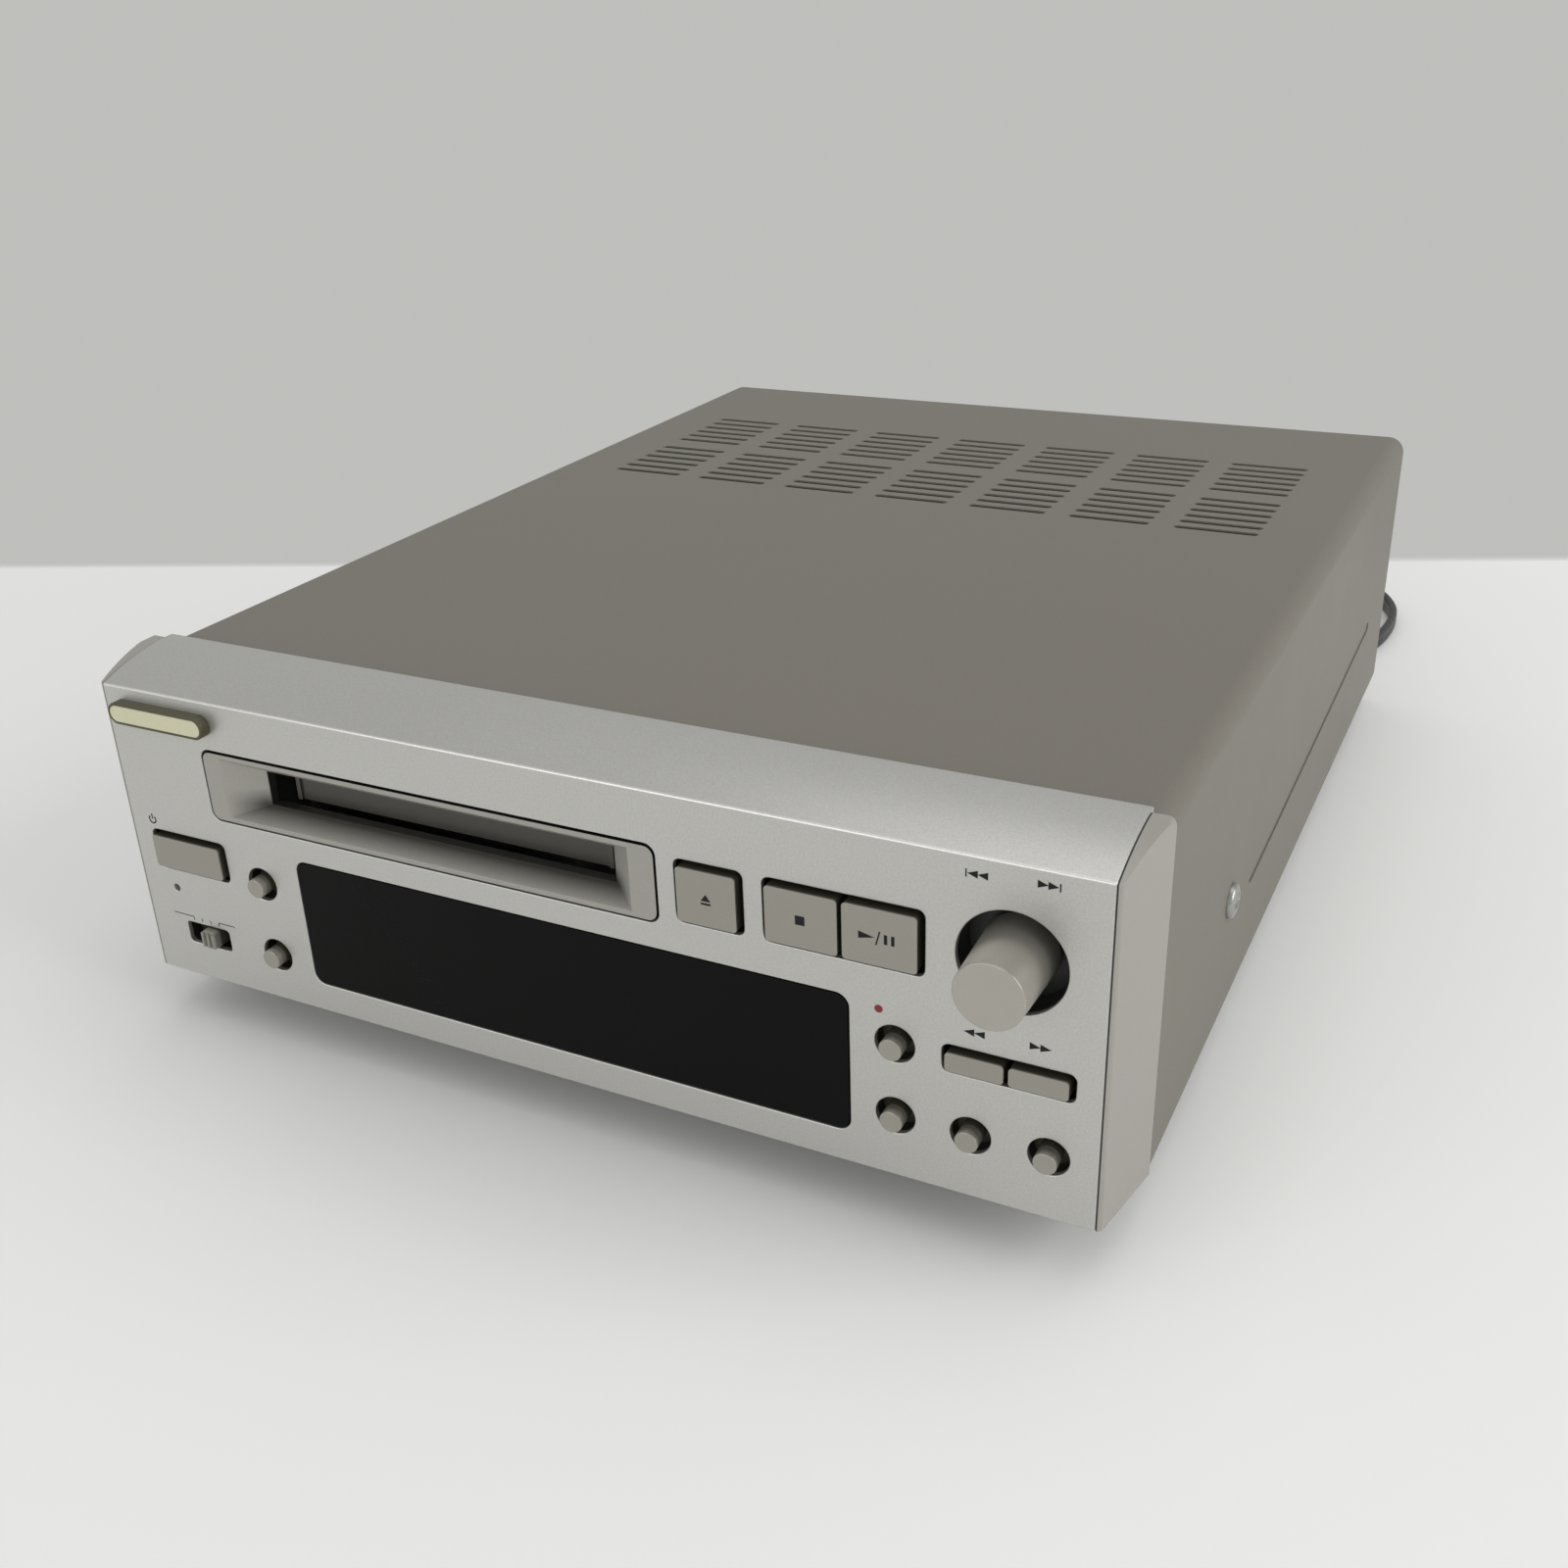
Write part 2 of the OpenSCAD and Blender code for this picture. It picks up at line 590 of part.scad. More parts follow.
module slot_door() color("#989590") at_slot() union() {
  translate([-door_w / 2, door_axis_y - door_t, -door_low]) cube([door_w, door_t, door_axis_z + door_low]);
  translate([0, door_axis_y, door_axis_z]) rotate([0, 90, 0]) cylinder(door_w, 1.3, 1.3, center = true);
  translate([0, door_axis_y, door_axis_z]) rotate([0, 90, 0])
      cylinder(door_w + 5.4, hinge_pin_r, hinge_pin_r, center = true);
  for (s = [-1, 1]) translate([s * (door_w / 2 - 1) - 0.5, door_axis_y - door_t - 0.5, -door_low])
    cube([1, 0.6, door_axis_z + door_low]);
}

// Oblong key: a cap, a flange behind the panel and a stem to its switch
module oblong_key(at, w, h) at_panel() {
  face_hole(at, w, h, key_r, -key_out, stop_y + 0.1);
  face_hole(at, w, h + 3.4, key_r, stop_y, stop_y + flange_t);
  face_hole(at, 3, 3, 0.4, stop_y + flange_t - 0.1, stem_end);
}

module power_key() color("#a09c90") oblong_key(power_at, power_w - 2 * key_gap, power_h - 2 * key_gap);
module eject_key() color("#a09c90") oblong_key(eject_at, eject_w - 2 * key_gap, play_h - 2 * key_gap);
module stop_key() color("#a09c90")
  oblong_key(play_at - [(pair_w + pair_gap) / 2, 0], pair_w, play_h - 2 * key_gap);
module play_key() color("#a09c90")
  oblong_key(play_at + [(pair_w + pair_gap) / 2, 0], pair_w, play_h - 2 * key_gap);
module rewind_key() color("#a09c90")
  oblong_key(seek_at - [(seek_key_w + pair_gap) / 2, 0], seek_key_w, seek_h - 2 * key_gap);
module forward_key() color("#a09c90")
  oblong_key(seek_at + [(seek_key_w + pair_gap) / 2, 0], seek_key_w, seek_h - 2 * key_gap);

// Round key: a turned cap with a chamfer, a flange and a stem
module round_key(at) color("#a09c90") at_panel() translate([at[0], 0, at[1]]) rotate([-90, 0, 0])
  rotate_extrude() polygon([[0, -round_out], [round_r - 0.25, -round_out], [round_r, -round_out + 0.25],
      [round_r, stop_y],
    [round_hole_r + 0.9, stop_y], [round_hole_r + 0.9, stop_y + flange_t], [1.4, stop_y + flange_t],
        [1.4, stem_end],
    [0, stem_end]]);

module dubbing_key() round_key(dubbing_at);
module input_key() round_key(input_at);
module record_key() round_key(record_at);
module display_key() round_key(display_at);
module edit_key() round_key(edit_at);
module confirm_key() round_key(confirm_at);

module mode_slider() color("#8f8b80") at_panel() translate([mode_rest, 0, 0]) {
  face_hole(mode_at, mode_knob_w, mode_h - 0.8, 0.6, -1.2, stop_y + 0.1);
  face_hole(mode_at, mode_w + 7, mode_h + 1.6, 0.6, stop_y, stop_y + 0.8);
  face_hole(mode_at, 2.4, 1.6, 0.3, stop_y + 0.7, board_y - 3.2);
}

module mode_switch() at_panel() difference() {
  face_hole(mode_at, 16, 6, 0.4, board_y - 4.2, board_y);
  face_hole(mode_at, 12, 2.2, 0.3, board_y - 5, board_y - 2.8);
}

module jog_knob() color("#a9a49a") at_panel() translate([jog_at[0], 0, jog_at[1]]) rotate([-90, 0, 0])
  difference() {
    rotate_extrude($fn = 72) polygon([[0, -jog_out], [jog_r - 0.35, -jog_out], [jog_r, -jog_out + 0.35],
      [jog_r + jog_flare, jog_back], [0, jog_back]]);
    translate([0, 0, -jog_out + 3]) cylinder(20, shaft_r, shaft_r);
  }

module encoder_shaft() color("#c4c4c0") at_panel() translate([jog_at[0], 0, jog_at[1]]) rotate([-90, 0, 0])
  translate([0, 0, -jog_out + 3]) cylinder(jog_out - 3 + shaft_end, shaft_r, shaft_r);

module encoder_plunger() color("#d8d8d4") at_panel() translate([jog_at[0], shaft_end + 0.05, jog_at[1]])
  rotate([-90, 0, 0]) cylinder(0.8, shaft_r - 0.02, shaft_r - 0.02);

// Encoder on the board, with the round cup that closes the panel's hole behind the knob
module encoder_body() color("#6c6c6a") at_panel() translate([jog_at[0], 0, jog_at[1]]) difference() {
  union() {
    face_bore([0, 0], jog_hole_r + cup_wall, frame_back + rest_gap, encoder_front);
    face_hole([0, 0], 12.4, 12.4, 0.6, encoder_front - 0.1, board_y);
  }
  face_bore([0, 0], jog_hole_r, frame_back - 1, cup_floor);
  face_bore([0, 0], shaft_r + run_gap, cup_floor - 1, board_y - 1);
}

module standby_lamp() color("#a03028") at_panel() translate([lamp_at[0], 0, lamp_at[1]]) rotate([-90, 0, 0])
  rotate_extrude() polygon([[0, 0.1], [lamp_r * 0.7, 0.2], [lamp_r, 0.6], [lamp_r, 4], [1.5, 4],
      [1.5, board_y], [0, board_y]]);

module display_tube() color("#40504c") at_panel()
  face_hole([window_x, window_z], window_w - 2 * tube_in, window_h - tube_in / 2, 1, tube_front,
      board_y - rest_gap);

module control_board() color("#3d6b45") at_panel() difference() {
  translate([0, board_y + board_t, 0]) rotate([90, 0, 0]) linear_extrude(board_t) polygon([
    [-board_right, 4], [board_right, 4], [board_right, panel_h - 5.5], [board_step, panel_h - 5.5],
    [board_step, slot_z - mouth_h], [-board_right, slot_z - mouth_h]]);
  for (at = boss_at) face_bore(at, 1.2, board_y - 1, board_y + 3);
}

module switches() color("#2a2a2a") {
  mode_switch();
  key_switches();
}

module key_switches() at_panel()
  for (at = concat(round_keys, [power_at, eject_at, play_at - [(pair_w + pair_gap) / 2, 0],
      play_at + [(pair_w + pair_gap) / 2, 0], seek_at - [(seek_key_w + pair_gap) / 2, 0],
      seek_at + [(seek_key_w + pair_gap) / 2, 0]]))
    union() {
      face_hole(at, 6, 6, 0.3, board_y - switch_h + 1, board_y);
      face_bore(at, 1.7, board_y - switch_h, board_y - switch_h + 1.1);
    }

// ---- disc mechanism ----

// Rounded slot that lies along -Y and drops by an angle, through a plate that stands in YZ
module slot_cut(len, r, angle, at, thick = 6) translate([0, at[0], at[1]]) rotate([angle, 0, 0]) {
  translate([-thick / 2, -len, -r]) cube([thick, len, 2 * r]);
  rotate([0, 90, 0]) cylinder(thick, r, r, center = true);
  translate([0, -len, 0]) rotate([0, 90, 0]) cylinder(thick, r, r, center = true);
}

module mech_frame() color("#a8adb0") at_slot() difference() {
  union() {
    translate([-frame_in - frame_wall, deck_front, base_z])
      cube([2 * (frame_in + frame_wall), deck_back - deck_front, base_t]);
    for (s = [0, 1]) mirror([s, 0, 0]) translate([frame_in, deck_front, base_z])
      cube([frame_wall, deck_back - deck_front, 6 - base_z]);
    translate([-frame_in, deck_back - 1, base_z]) cube([2 * frame_in, 1, 6 - base_z]);
    for (y = rod_y) translate([2, y - 2, base_z]) cube([2.4, 4, rod_z - base_z + 2.4]);
    translate([-11, screw_y - 3, base_z]) cube([14, 6, rod_z - base_z - sled_motor_r + 0.6]);
    // tab that carries the loading motor
    translate([frame_in + frame_wall - 9, motor_y - 1.2 - rest_gap, worm_z - 4])
        cube([9, 1.2, base_z - worm_z + 4.1]);
  }
  translate([-14, screw_y, rod_z]) rotate([0, 90, 0]) cylinder(21, sled_motor_r + rest_gap,
      sled_motor_r + rest_gap);
  translate([worm_x, motor_y - 2, worm_z]) rotate([-90, 0, 0])
      cylinder(3, worm_shaft_r + 0.9, worm_shaft_r + 0.9);
  for (s = [-1, 1], y = pin_y) translate([s * (frame_in + 0.5), y, -holder_drop]) rotate([-90, 0, 0])
    slot_cut(holder_drop, pin_r + slot_play, 0, [0, 0]);
  for (y = rod_y) translate([0, y, rod_z]) rotate([0, 90, 0]) cylinder(60, rod_r + run_gap, rod_r + run_gap);
  translate([20, screw_y, rod_z]) rotate([0, 90, 0]) cylinder(60, sled_r + run_gap, sled_r + run_gap);
  translate([frame_in - 4.2, gear_y - 8, base_z - 1]) cube([4.2, 16, 4]);
  translate([frame_in - 1, gear_y, gear_z]) rotate([0, 90, 0])
      cylinder(6, gear_pin_r + rest_gap, gear_pin_r + rest_gap);
  for (at = post_at) translate([at[0], at[1], base_z - 1]) cylinder(4, screw_r, screw_r);
}

module mech_posts() color("#c2b98a") at_slot() for (at = post_at)
    translate([at[0], at[1], floor_z - slot_z]) {
  cylinder(base_z + slot_z - floor_z - rest_gap, 3.5, 3.5, $fn = 6);
  cylinder(base_z + base_t + slot_z - floor_z + 1, screw_r - 0.1, screw_r - 0.1);
}

module disc_holder() color("#b4b7b9") at_slot() difference() {
  union() {
    difference() {
      translate([-holder_out, holder_front, -lid_z - wall_t])
        cube([2 * holder_out, holder_back - holder_front, 2 * (lid_z + wall_t)]);
      translate([-holder_in, holder_front - 1, -lid_z])
          cube([2 * holder_in, holder_back - holder_front - wall_t + 1, 2 * lid_z]);
      translate([-holder_in + 5, holder_front - 1, -lid_z - 4]) cube([2 * holder_in - 10, holder_back, 5]);
      translate([4, disc_y - 7, 0]) cube([holder_in - 6, 38, 10]);
    }
    for (s = [-1, 1], y = pin_y) translate([s * (holder_out - 0.1), y, 0]) rotate([0, s * 90, 0])
      cylinder(pin_end - holder_out + 0.1, pin_r, pin_r);
  }
}

module cam_plate(s) at_slot() difference() {
  union() {
    translate([s > 0 ? cam_in : -cam_in - cam_t, holder_front - 3, cam_low])
        cube([cam_t, 81, 4.5 - cam_low]);
    if (s > 0) right_rack();
  }
  for (y = pin_y) translate([s * (cam_in + cam_t / 2), 0, 0])
    slot_cut(cam_slot, pin_r + slot_play, cam_angle, [y, 0]);
}

// Straight-sided rack teeth under the right cam plate, in mesh with the gear at rest
function rack_half(z) = PI * gear_m / 4 - 0.09 + z * tan(20);
module right_rack() translate([cam_in, 0, 0]) rotate([90, 0, 90]) linear_extrude(cam_t)
  for (i = [-7:2]) translate([gear_y + (i + 0.5) * PI * gear_m, rack_z]) polygon([
    [-rack_half(cam_low - rack_z), cam_low - rack_z + 0.2], [-rack_half(-0.8 * gear_m), -0.8 * gear_m],
    [rack_half(-0.8 * gear_m), -0.8 * gear_m], [rack_half(cam_low - rack_z), cam_low - rack_z + 0.2]]);

module left_cam_plate() color("#9aa0a4") cam_plate(-1);
module right_cam_plate() color("#9aa0a4") cam_plate(1);

// Tooth flank of an involute gear: half angle of the tooth at radius r
function inv(r, base) = r <= base ? 0 : let (a = acos(base / r)) tan(a) * 180 / PI - a;
function tooth(i, pr, teeth, m, backlash) = let (base = pr * cos(20), half = 90 / teeth - backlash,
    root = pr - 1.15 * m, tip = pr + 0.85 * m, rs = [max(base, root), (base + pr) / 2, pr, (pr + tip) / 2,
        tip], mid = 360 * i / teeth)
  concat([for (r = rs) let (a = mid - half + inv(r, base) - inv(pr, base)) r * [cos(a), sin(a)]],
    [for (k = [4:-1:0]) let (r = rs[k], a = mid + half - inv(r, base) + inv(pr, base)) r * [cos(a), sin(a)]],
    [let (a = mid + 180 / teeth) root * [cos(a), sin(a)]]);

module loading_gear() color("#e6e2d6") at_slot() translate([cam_in - 0.6, gear_y, gear_z])
    rotate([90, 0, 90])
  difference() {
    linear_extrude(2.2) rotate(90) polygon([for (i = [0:gear_teeth - 1],
        p = tooth(i, gear_pr, gear_teeth, gear_m, 1.6)) p]);
    translate([0, 0, -1]) cylinder(5, gear_pin_r + run_gap, gear_pin_r + run_gap);
  }

module loading_worm() color("#e0dccf") at_slot() translate([worm_x, gear_y - 7, worm_z]) rotate([-90, 0, 0])
    union() {
  cylinder(14, worm_r, worm_r);
  cylinder(motor_y - gear_y + 9, worm_shaft_r, worm_shaft_r);
}

module loading_motor() color("#b5b5b2") at_slot() translate([worm_x, motor_y, worm_z]) rotate([-90, 0, 0])
  difference() {
    cylinder(load_motor_l, load_motor_r, load_motor_r);
    translate([0, 0, -1]) cylinder(4, worm_shaft_r + run_gap, worm_shaft_r + run_gap);
  }

module spindle_motor() color("#a3a3a0") at_slot() translate([0, disc_y, base_z + base_t]) difference() {
  cylinder(5, motor_r, motor_r);
  translate([0, 0, 1]) cylinder(8, 0.75 + run_gap, 0.75 + run_gap);
}

module turntable() color("#d3d3d0") at_slot() translate([0, disc_y, base_z + base_t]) union() {
  translate([0, 0, 1.5]) cylinder(4.6, 0.75, 0.75);
  translate([0, 0, 5.6]) rotate_extrude() polygon([[0, 0], [9.6, 0], [9.6, 1], [5, 1.6], [5, 3.6],
      [4.2, 4.4], [0, 4.4]]);
}

module guide_rods() color("#cfd2d4") at_slot() {
  for (y = rod_y) translate([2, y, rod_z]) rotate([0, 90, 0])
      cylinder(frame_in + frame_wall - 2, rod_r, rod_r);
  translate([cam_in - 0.8, gear_y, gear_z]) rotate([0, 90, 0])
    cylinder(frame_in + frame_wall - cam_in + 0.8, gear_pin_r, gear_pin_r);
}

module pickup_sled() color("#7d8184") at_slot() difference() {
  union() {
    translate([sled_x, rod_y[0] - 3, rod_z - 3]) cube([sled_w, screw_y + 3 - rod_y[0] + 3, 5.6]);
    translate([sled_x + 2, screw_y + 2, rod_z - 3]) cube([arm_post_w, arm_reach, 1]);
    translate([sled_x + 2, screw_y + arm_reach, rod_z - 3]) cube([arm_post_w, 1.6, arm_z - rod_z]);
    for (x = [sled_x + 2, sled_x + 8.2]) translate([x, arm_y - 2, arm_z - 4]) cube([0.8, 4, 6]);
  }
  for (y = rod_y) translate([0, y, rod_z]) rotate([0, 90, 0]) cylinder(60, rod_r + run_gap, rod_r + run_gap);
  translate([0, screw_y, rod_z]) rotate([0, 90, 0]) cylinder(60, sled_r + run_gap, sled_r + run_gap);
  translate([lens_x, disc_y, rod_z - 1]) cylinder(9, 2.4 + seam, 2.4 + seam);
  translate([0, arm_y, arm_z]) rotate([0, 90, 0]) cylinder(60, arm_pin_r + run_gap, arm_pin_r + run_gap);
}

module pickup_lens() color("#7aa0b4") at_slot() translate([lens_x, disc_y, rod_z - 1])
  rotate_extrude() polygon([[0, 0], [2.4, 0], [2.4, 3.4], [1.8, 3.8], [1, 4.1], [0, 4.2]]);

module sled_screw() color("#c9c7bd") at_slot() translate([3.4, screw_y, rod_z]) rotate([0, 90, 0])
  cylinder(frame_in + frame_wall - 3.4, sled_r, sled_r);

module sled_motor() color("#a9a9a6") at_slot() translate([-13, screw_y, rod_z]) rotate([0, 90, 0])
    difference() {
  cylinder(19, sled_motor_r, sled_motor_r);
  translate([0, 0, 16]) cylinder(4, sled_r + run_gap, sled_r + run_gap);
}

module head_arm() color("#bdbfc0") at_slot() union() {
  translate([sled_x + 3.2, disc_y - 2, arm_z - 0.6]) cube([4.6, arm_y - disc_y + 2, 0.8]);
  translate([sled_x + 3.2, arm_y, arm_z]) rotate([0, 90, 0]) cylinder(4.6, 1.5, 1.5);
  translate([sled_x + 1.6, arm_y, arm_z]) rotate([0, 90, 0]) cylinder(7.8, arm_pin_r, arm_pin_r);
  translate([sled_x + 3.6, disc_y - 2, arm_z - 2]) cube([3.8, 4, 1.5]);
}

// ---- electronics and rear ----

module main_board() color("#3d6b45") at_panel() difference() {
  translate([board_left, board_front, board_low])
    cube([board_right - board_left, board_back - board_front, board_t]);
  for (at = board_holes) translate([at[0], at[1], board_low - 1]) cylinder(4, 1.6, 1.6);
}

// Chips and capacitors, each placed by its shares of the board's width and depth
function on_board(x, y) = [board_left + x * (board_right - board_left),
  board_front + y * (board_back - board_front), 0];
module board_parts() color("#20242a") at_panel() translate([0, 0, board_top]) {
  for (c = [[0.15, 0.19, 14, 14], [0.46, 0.28, 20, 20], [0.74, 0.22, 12, 24], [0.5, 0.65, 10, 18],
      [0.88, 0.55, 14, 10]])
    translate(on_board(c[0], c[1])) chip(c[2], c[3]);
  for (c = [[0.07, 0.51, 5, 16], [0.17, 0.51, 5, 16], [0.07, 0.66, 4, 12], [0.75, 0.73, 3.2, 8],
      [0.87, 0.73, 3.2, 8],
      [0.93, 0.21, 4, 11]])
    translate(on_board(c[0], c[1])) capacitor(c[2], c[3]);
}
// Chip with its package raised on rows of leads along two sides
module chip(w, d) {
  translate([-w / 2 + 1, -d / 2, 0.4]) cube([w - 2, d, 1.8]);
  for (i = [0:floor(d / 2.54) - 1]) translate([-w / 2, (i - floor(d / 2.54) / 2 + 0.3) * 2.54, 0])
      cube([w, 1, 0.6]);
}
// Upright capacitor with the groove rolled round its foot
module capacitor(r, h) rotate_extrude($fn = 20) polygon([[0, 0], [r, 0], [r, 1.2], [r - 0.4, 1.6], [r, 2],
    [r, h - 0.4],
  [r - 0.4, h], [0, h]]);

module heat_sink() color("#8d9092") at_panel() translate([-8, case_d - 46, board_top])
    linear_extrude(sink_h) union() {
  square([sink_w, 2]);
  for (x = [0:fin_step:sink_w - fin_t]) translate([x, -fin_d]) square([fin_t, fin_d + 0.1]);
}

// Transformer: laminated core, the winding between its bobbin's flanges, and a strap with two feet
module transformer() color("#6e6a62") at_panel() translate([core_at[0], core_at[1], floor_z]) union() {
  translate([-core_w / 2, -core_d / 2, strap_t]) cube([core_w, core_d, core_h - strap_t]);
  translate([0, 0, core_h / 7]) linear_extrude(core_h * 5 / 7)
      polygon(round_rect(coil_w - 2, core_d + flange_d - 3, core_h / 6));
  for (z = [core_h / 7, core_h * 6 / 7 - strap_t]) translate([0, 0, z])
    linear_extrude(strap_t) polygon(round_rect(coil_w, core_d + flange_d, 2));
  difference() {
    translate([-core_w / 2 - strap_t, -strap_w / 2, 0])
        cube([core_w + 2 * strap_t, strap_w, core_h + strap_t]);
    translate([-core_w / 2 + 0.5, -strap_w, strap_t + 0.1])
        cube([core_w - 1, 2 * strap_w, core_h - strap_t - 0.5]);
  }
  for (s = [-1, 1]) translate([s * (core_w / 2 + strap_foot / 2 - 1), 0, 0]) linear_extrude(strap_t)
      difference() {
    square([strap_foot, strap_w], center = true);
    translate([s * strap_foot * 0.15, 0]) circle(screw_r);
  }
}

module phono_sockets() color("#232323") at_panel() difference() {
  union() {
    translate([phono_at[0] - jack_step, case_d - phono_d - 1, board_top])
        cube([2 * jack_step, phono_d - rest_gap, phono_h]);
    for (x = jack_pair, z = jack_pair) face_bore(phono_at + [x, z], phono_r, case_d - 2, case_d + phono_out);
  }
  face_bore(phono_at, screw_r, case_d - 7, case_d);
  for (x = jack_pair, z = jack_pair) face_bore(phono_at + [x, z], 1.6, case_d - 4, case_d + phono_out + 1);
}

module signal_sockets() color("#1d1d1d") {
  optical_sockets();
  control_sockets();
}

module optical_sockets() at_panel() for (x = jack_pair) difference() {
  face_hole(optical_at + [x, 0], optical_w, optical_h, 0.6, case_d - 12, case_d + 1.6);
  face_hole(optical_at + [x, 0], 5, 5, 0.8, case_d - 8, case_d + 3);
}

module control_sockets() at_panel() for (x = jack_pair) difference() {
  union() {
    face_bore(control_at + [x, 0], control_r, case_d - 12, case_d + 1.4);
    face_hole(control_at + [x, 0], 8, 8, 0.5, case_d - 12, case_d - sheet_t - rest_gap);
  }
  face_bore(control_at + [x, 0], 1.75, case_d - 10, case_d + 3);
}

// ---- mains lead ----

module strain_relief() color("#161616") at_panel() translate([lead_at[0], case_d - 4, lead_at[1]])
    rotate([-90, 0, 0])
  difference() {
    union() {
      linear_extrude(3) polygon(round_rect(12, 10, 2));
      linear_extrude(4.6) polygon(round_rect(relief_w, relief_h, 1.8));
      translate([0, 0, 4.4]) cylinder(3, 4.8, 4.6);
      translate([0, 0, 7.2]) cylinder(20.6, 3.9, 3.1);
    }
    for (i = [0:3]) translate([0, 0, 9.4 + i * 4]) difference() {
      cylinder(1.4, 6, 6);
      cylinder(1.4, 2.9, 2.9);
    }
  }

// Points on a smooth curve through the route's own points
function spline(p, k, t) = let (n = len(p), a = p[max(k - 1, 0)], b = p[k], c = p[min(k + 1, n - 1)],
    d = p[min(k + 2, n - 1)])
  0.5 * ((2 * b) + (c - a) * t + (2 * a - 5 * b + 4 * c - d) * t * t + (3 * b - a - 3 * c + d) * t * t * t);
function smooth_path(p, n) = concat([for (k = [0:len(p) - 2], i = [0:n - 1]) spline(p, k, i / n)],
    [p[len(p) - 1]]);
function unit(v) = v / norm(v);

// A tube with a flat oval section swept along a path, its wide side kept upright
module flat_tube(p, w, t, sides, turn) {
  n = len(p);
  rings = [for (i = [0:n - 1]) let (d = unit(p[min(i + 1, n - 1)] - p[max(i - 1, 0)]),
      side = unit(cross(d, [0, 0, 1])), up = cross(side, d))
    for (j = [0:sides - 1]) let (a = 360 * (j + turn) / sides)
      p[i] + side * (t / 2 * cos(a)) + up * (w / 2 * sin(a))];
  polyhedron(rings, concat(
    [[for (j = [0:sides - 1]) j]],
    [for (i = [0:n - 2], j = [0:sides - 1]) let (q = (j + 1) % sides, a = i * sides)
      each [[a + j, a + sides + j, a + sides + q], [a + j, a + sides + q, a + q]]],
    [[for (j = [sides - 1:-1:0]) (n - 1) * sides + j]]));
}

lead_sides = 8;
lead_low = lead_w / 2 * cos(180 / lead_sides); // middle of the lead where it lies on the floor
// Route of the free lead, from the strain relief to the coil
lead_route = [[60, 154.6, 27.5], [60, 158, 27.5], [60, 162, 27.5], [59, 170, 25], [55, 184, 17.5],
    [49, 198, 9], [45, 210, 4],
  [46, 222, 2.4], [54, 231, 2.4], [66, 233, 2.4], [79, 227, 2.4], [90, 215, 2.4], [97, 200, 2.4],
  [98, 184, 2.4], [95, 168, 2.4], [87, 154, 2.4], [74, 145.5, 2.4], [58, 142.8, 2.4], [34, 142.8, 2.4],
  [14, 142.8, 2.6], [3, 142.8, 3], [-8, 142.8, 3.05]];
module mains_lead() color("#141414") flat_tube(smooth_path(lead_route, 2), lead_w, lead_t, lead_sides, 0.5);

// The stowed coil: two layers of turns that spiral in below and out again above
tie_t = 0.7;
coil_lift = tie_t + 0.1;
coil_sides = 6;
coil_flat = lead_w / 2 * sin(60);
coil_layer = lead_w + 0.6;
coil_out = coil_r + coil_step * coil_turns / 2;
coil_at = [-20, 142.8 + coil_out];
function climb(u) = let (k = min(max(2 * u + 0.5, 0), 1)) k * k * (3 - 2 * k);
function coil_point(t) = let (u = t - coil_turns / 2, r = coil_r + coil_step * sqrt(u * u + 0.003),
    a = -90 - 360 * t)
  [coil_at[0] + r * cos(a), coil_at[1] + r * sin(a), coil_lift + coil_flat + coil_layer * climb(u)];
coil_path = concat([coil_point(0) + [12, 0, 0], coil_point(0) + [5.5, 0, 0]],
  [for (i = [0:coil_turns * 24]) coil_point(i / 24)],
  [for (x = [6, 15, 24]) coil_point(coil_turns) - [x, 0, 0]]);
module mains_lead_coil() color("#141414") flat_tube(coil_path, lead_w, lead_t, coil_sides, 0);

// Least gap of the coil to itself, measured on the points of its rings
function section(p, q, w, t, sides, turn) = let (d = unit(q), side = unit(cross(d, [0, 0, 1])),
    up = cross(side, d))
  [for (j = [0:sides - 1]) let (a = 360 * (j + turn) / sides)
      p + side * (t / 2 * cos(a)) + up * (w / 2 * sin(a))];
coil_rings = [for (i = [2:len(coil_path) - 4])
  section(coil_path[i], coil_path[i + 1] - coil_path[i - 1], lead_w, lead_t, coil_sides, 0)];
coil_gap = min([for (i = [0:3:len(coil_rings) - 1], k = [1:coil_turns]) if (i + 24 * k + 1 < len(coil_rings))
  for (m = [-1:1], a = coil_rings[i], b = coil_rings[i + 24 * k + m]) norm(a - b)]);
echo(coil_gap = coil_gap);

tie_w = 4;
tie_in = coil_step * (coil_turns / 2 - 1) + lead_t + 0.6;
tie_h = coil_layer + 2 * coil_flat + 1;
module lead_tie() color("#202020") translate([coil_at[0] - tie_w / 2,
    coil_at[1] + coil_r + coil_step * coil_turns / 4,
    tie_t + tie_h / 2 - 0.2])
  rotate([90, 0, 90]) linear_extrude(tie_w) difference() {
    polygon(round_rect(tie_in + 2 * tie_t, tie_h + 2 * tie_t - 0.4, 1.5));
    polygon(round_rect(tie_in, tie_h - 0.4, 0.9));
  }

plug_at = coil_point(coil_turns) - [24, 0, 0];
module mains_plug() color("#181818") translate(plug_at) union() {
  translate([-6, 0, 0]) rotate([90, 0, 90]) linear_extrude(6) polygon(round_rect(6, 8, 1.2));
  translate([-28, 0, 0]) rotate([90, 0, 90]) linear_extrude(22.5) polygon(round_rect(21, 2 * plug_at[2], 3));
}
module plug_blades() color("#c8b36a") translate(plug_at) for (y = [-6.35, 6.35])
  translate([-46, y - 0.75, -3.2]) cube([18, 1.5, 6.4]);

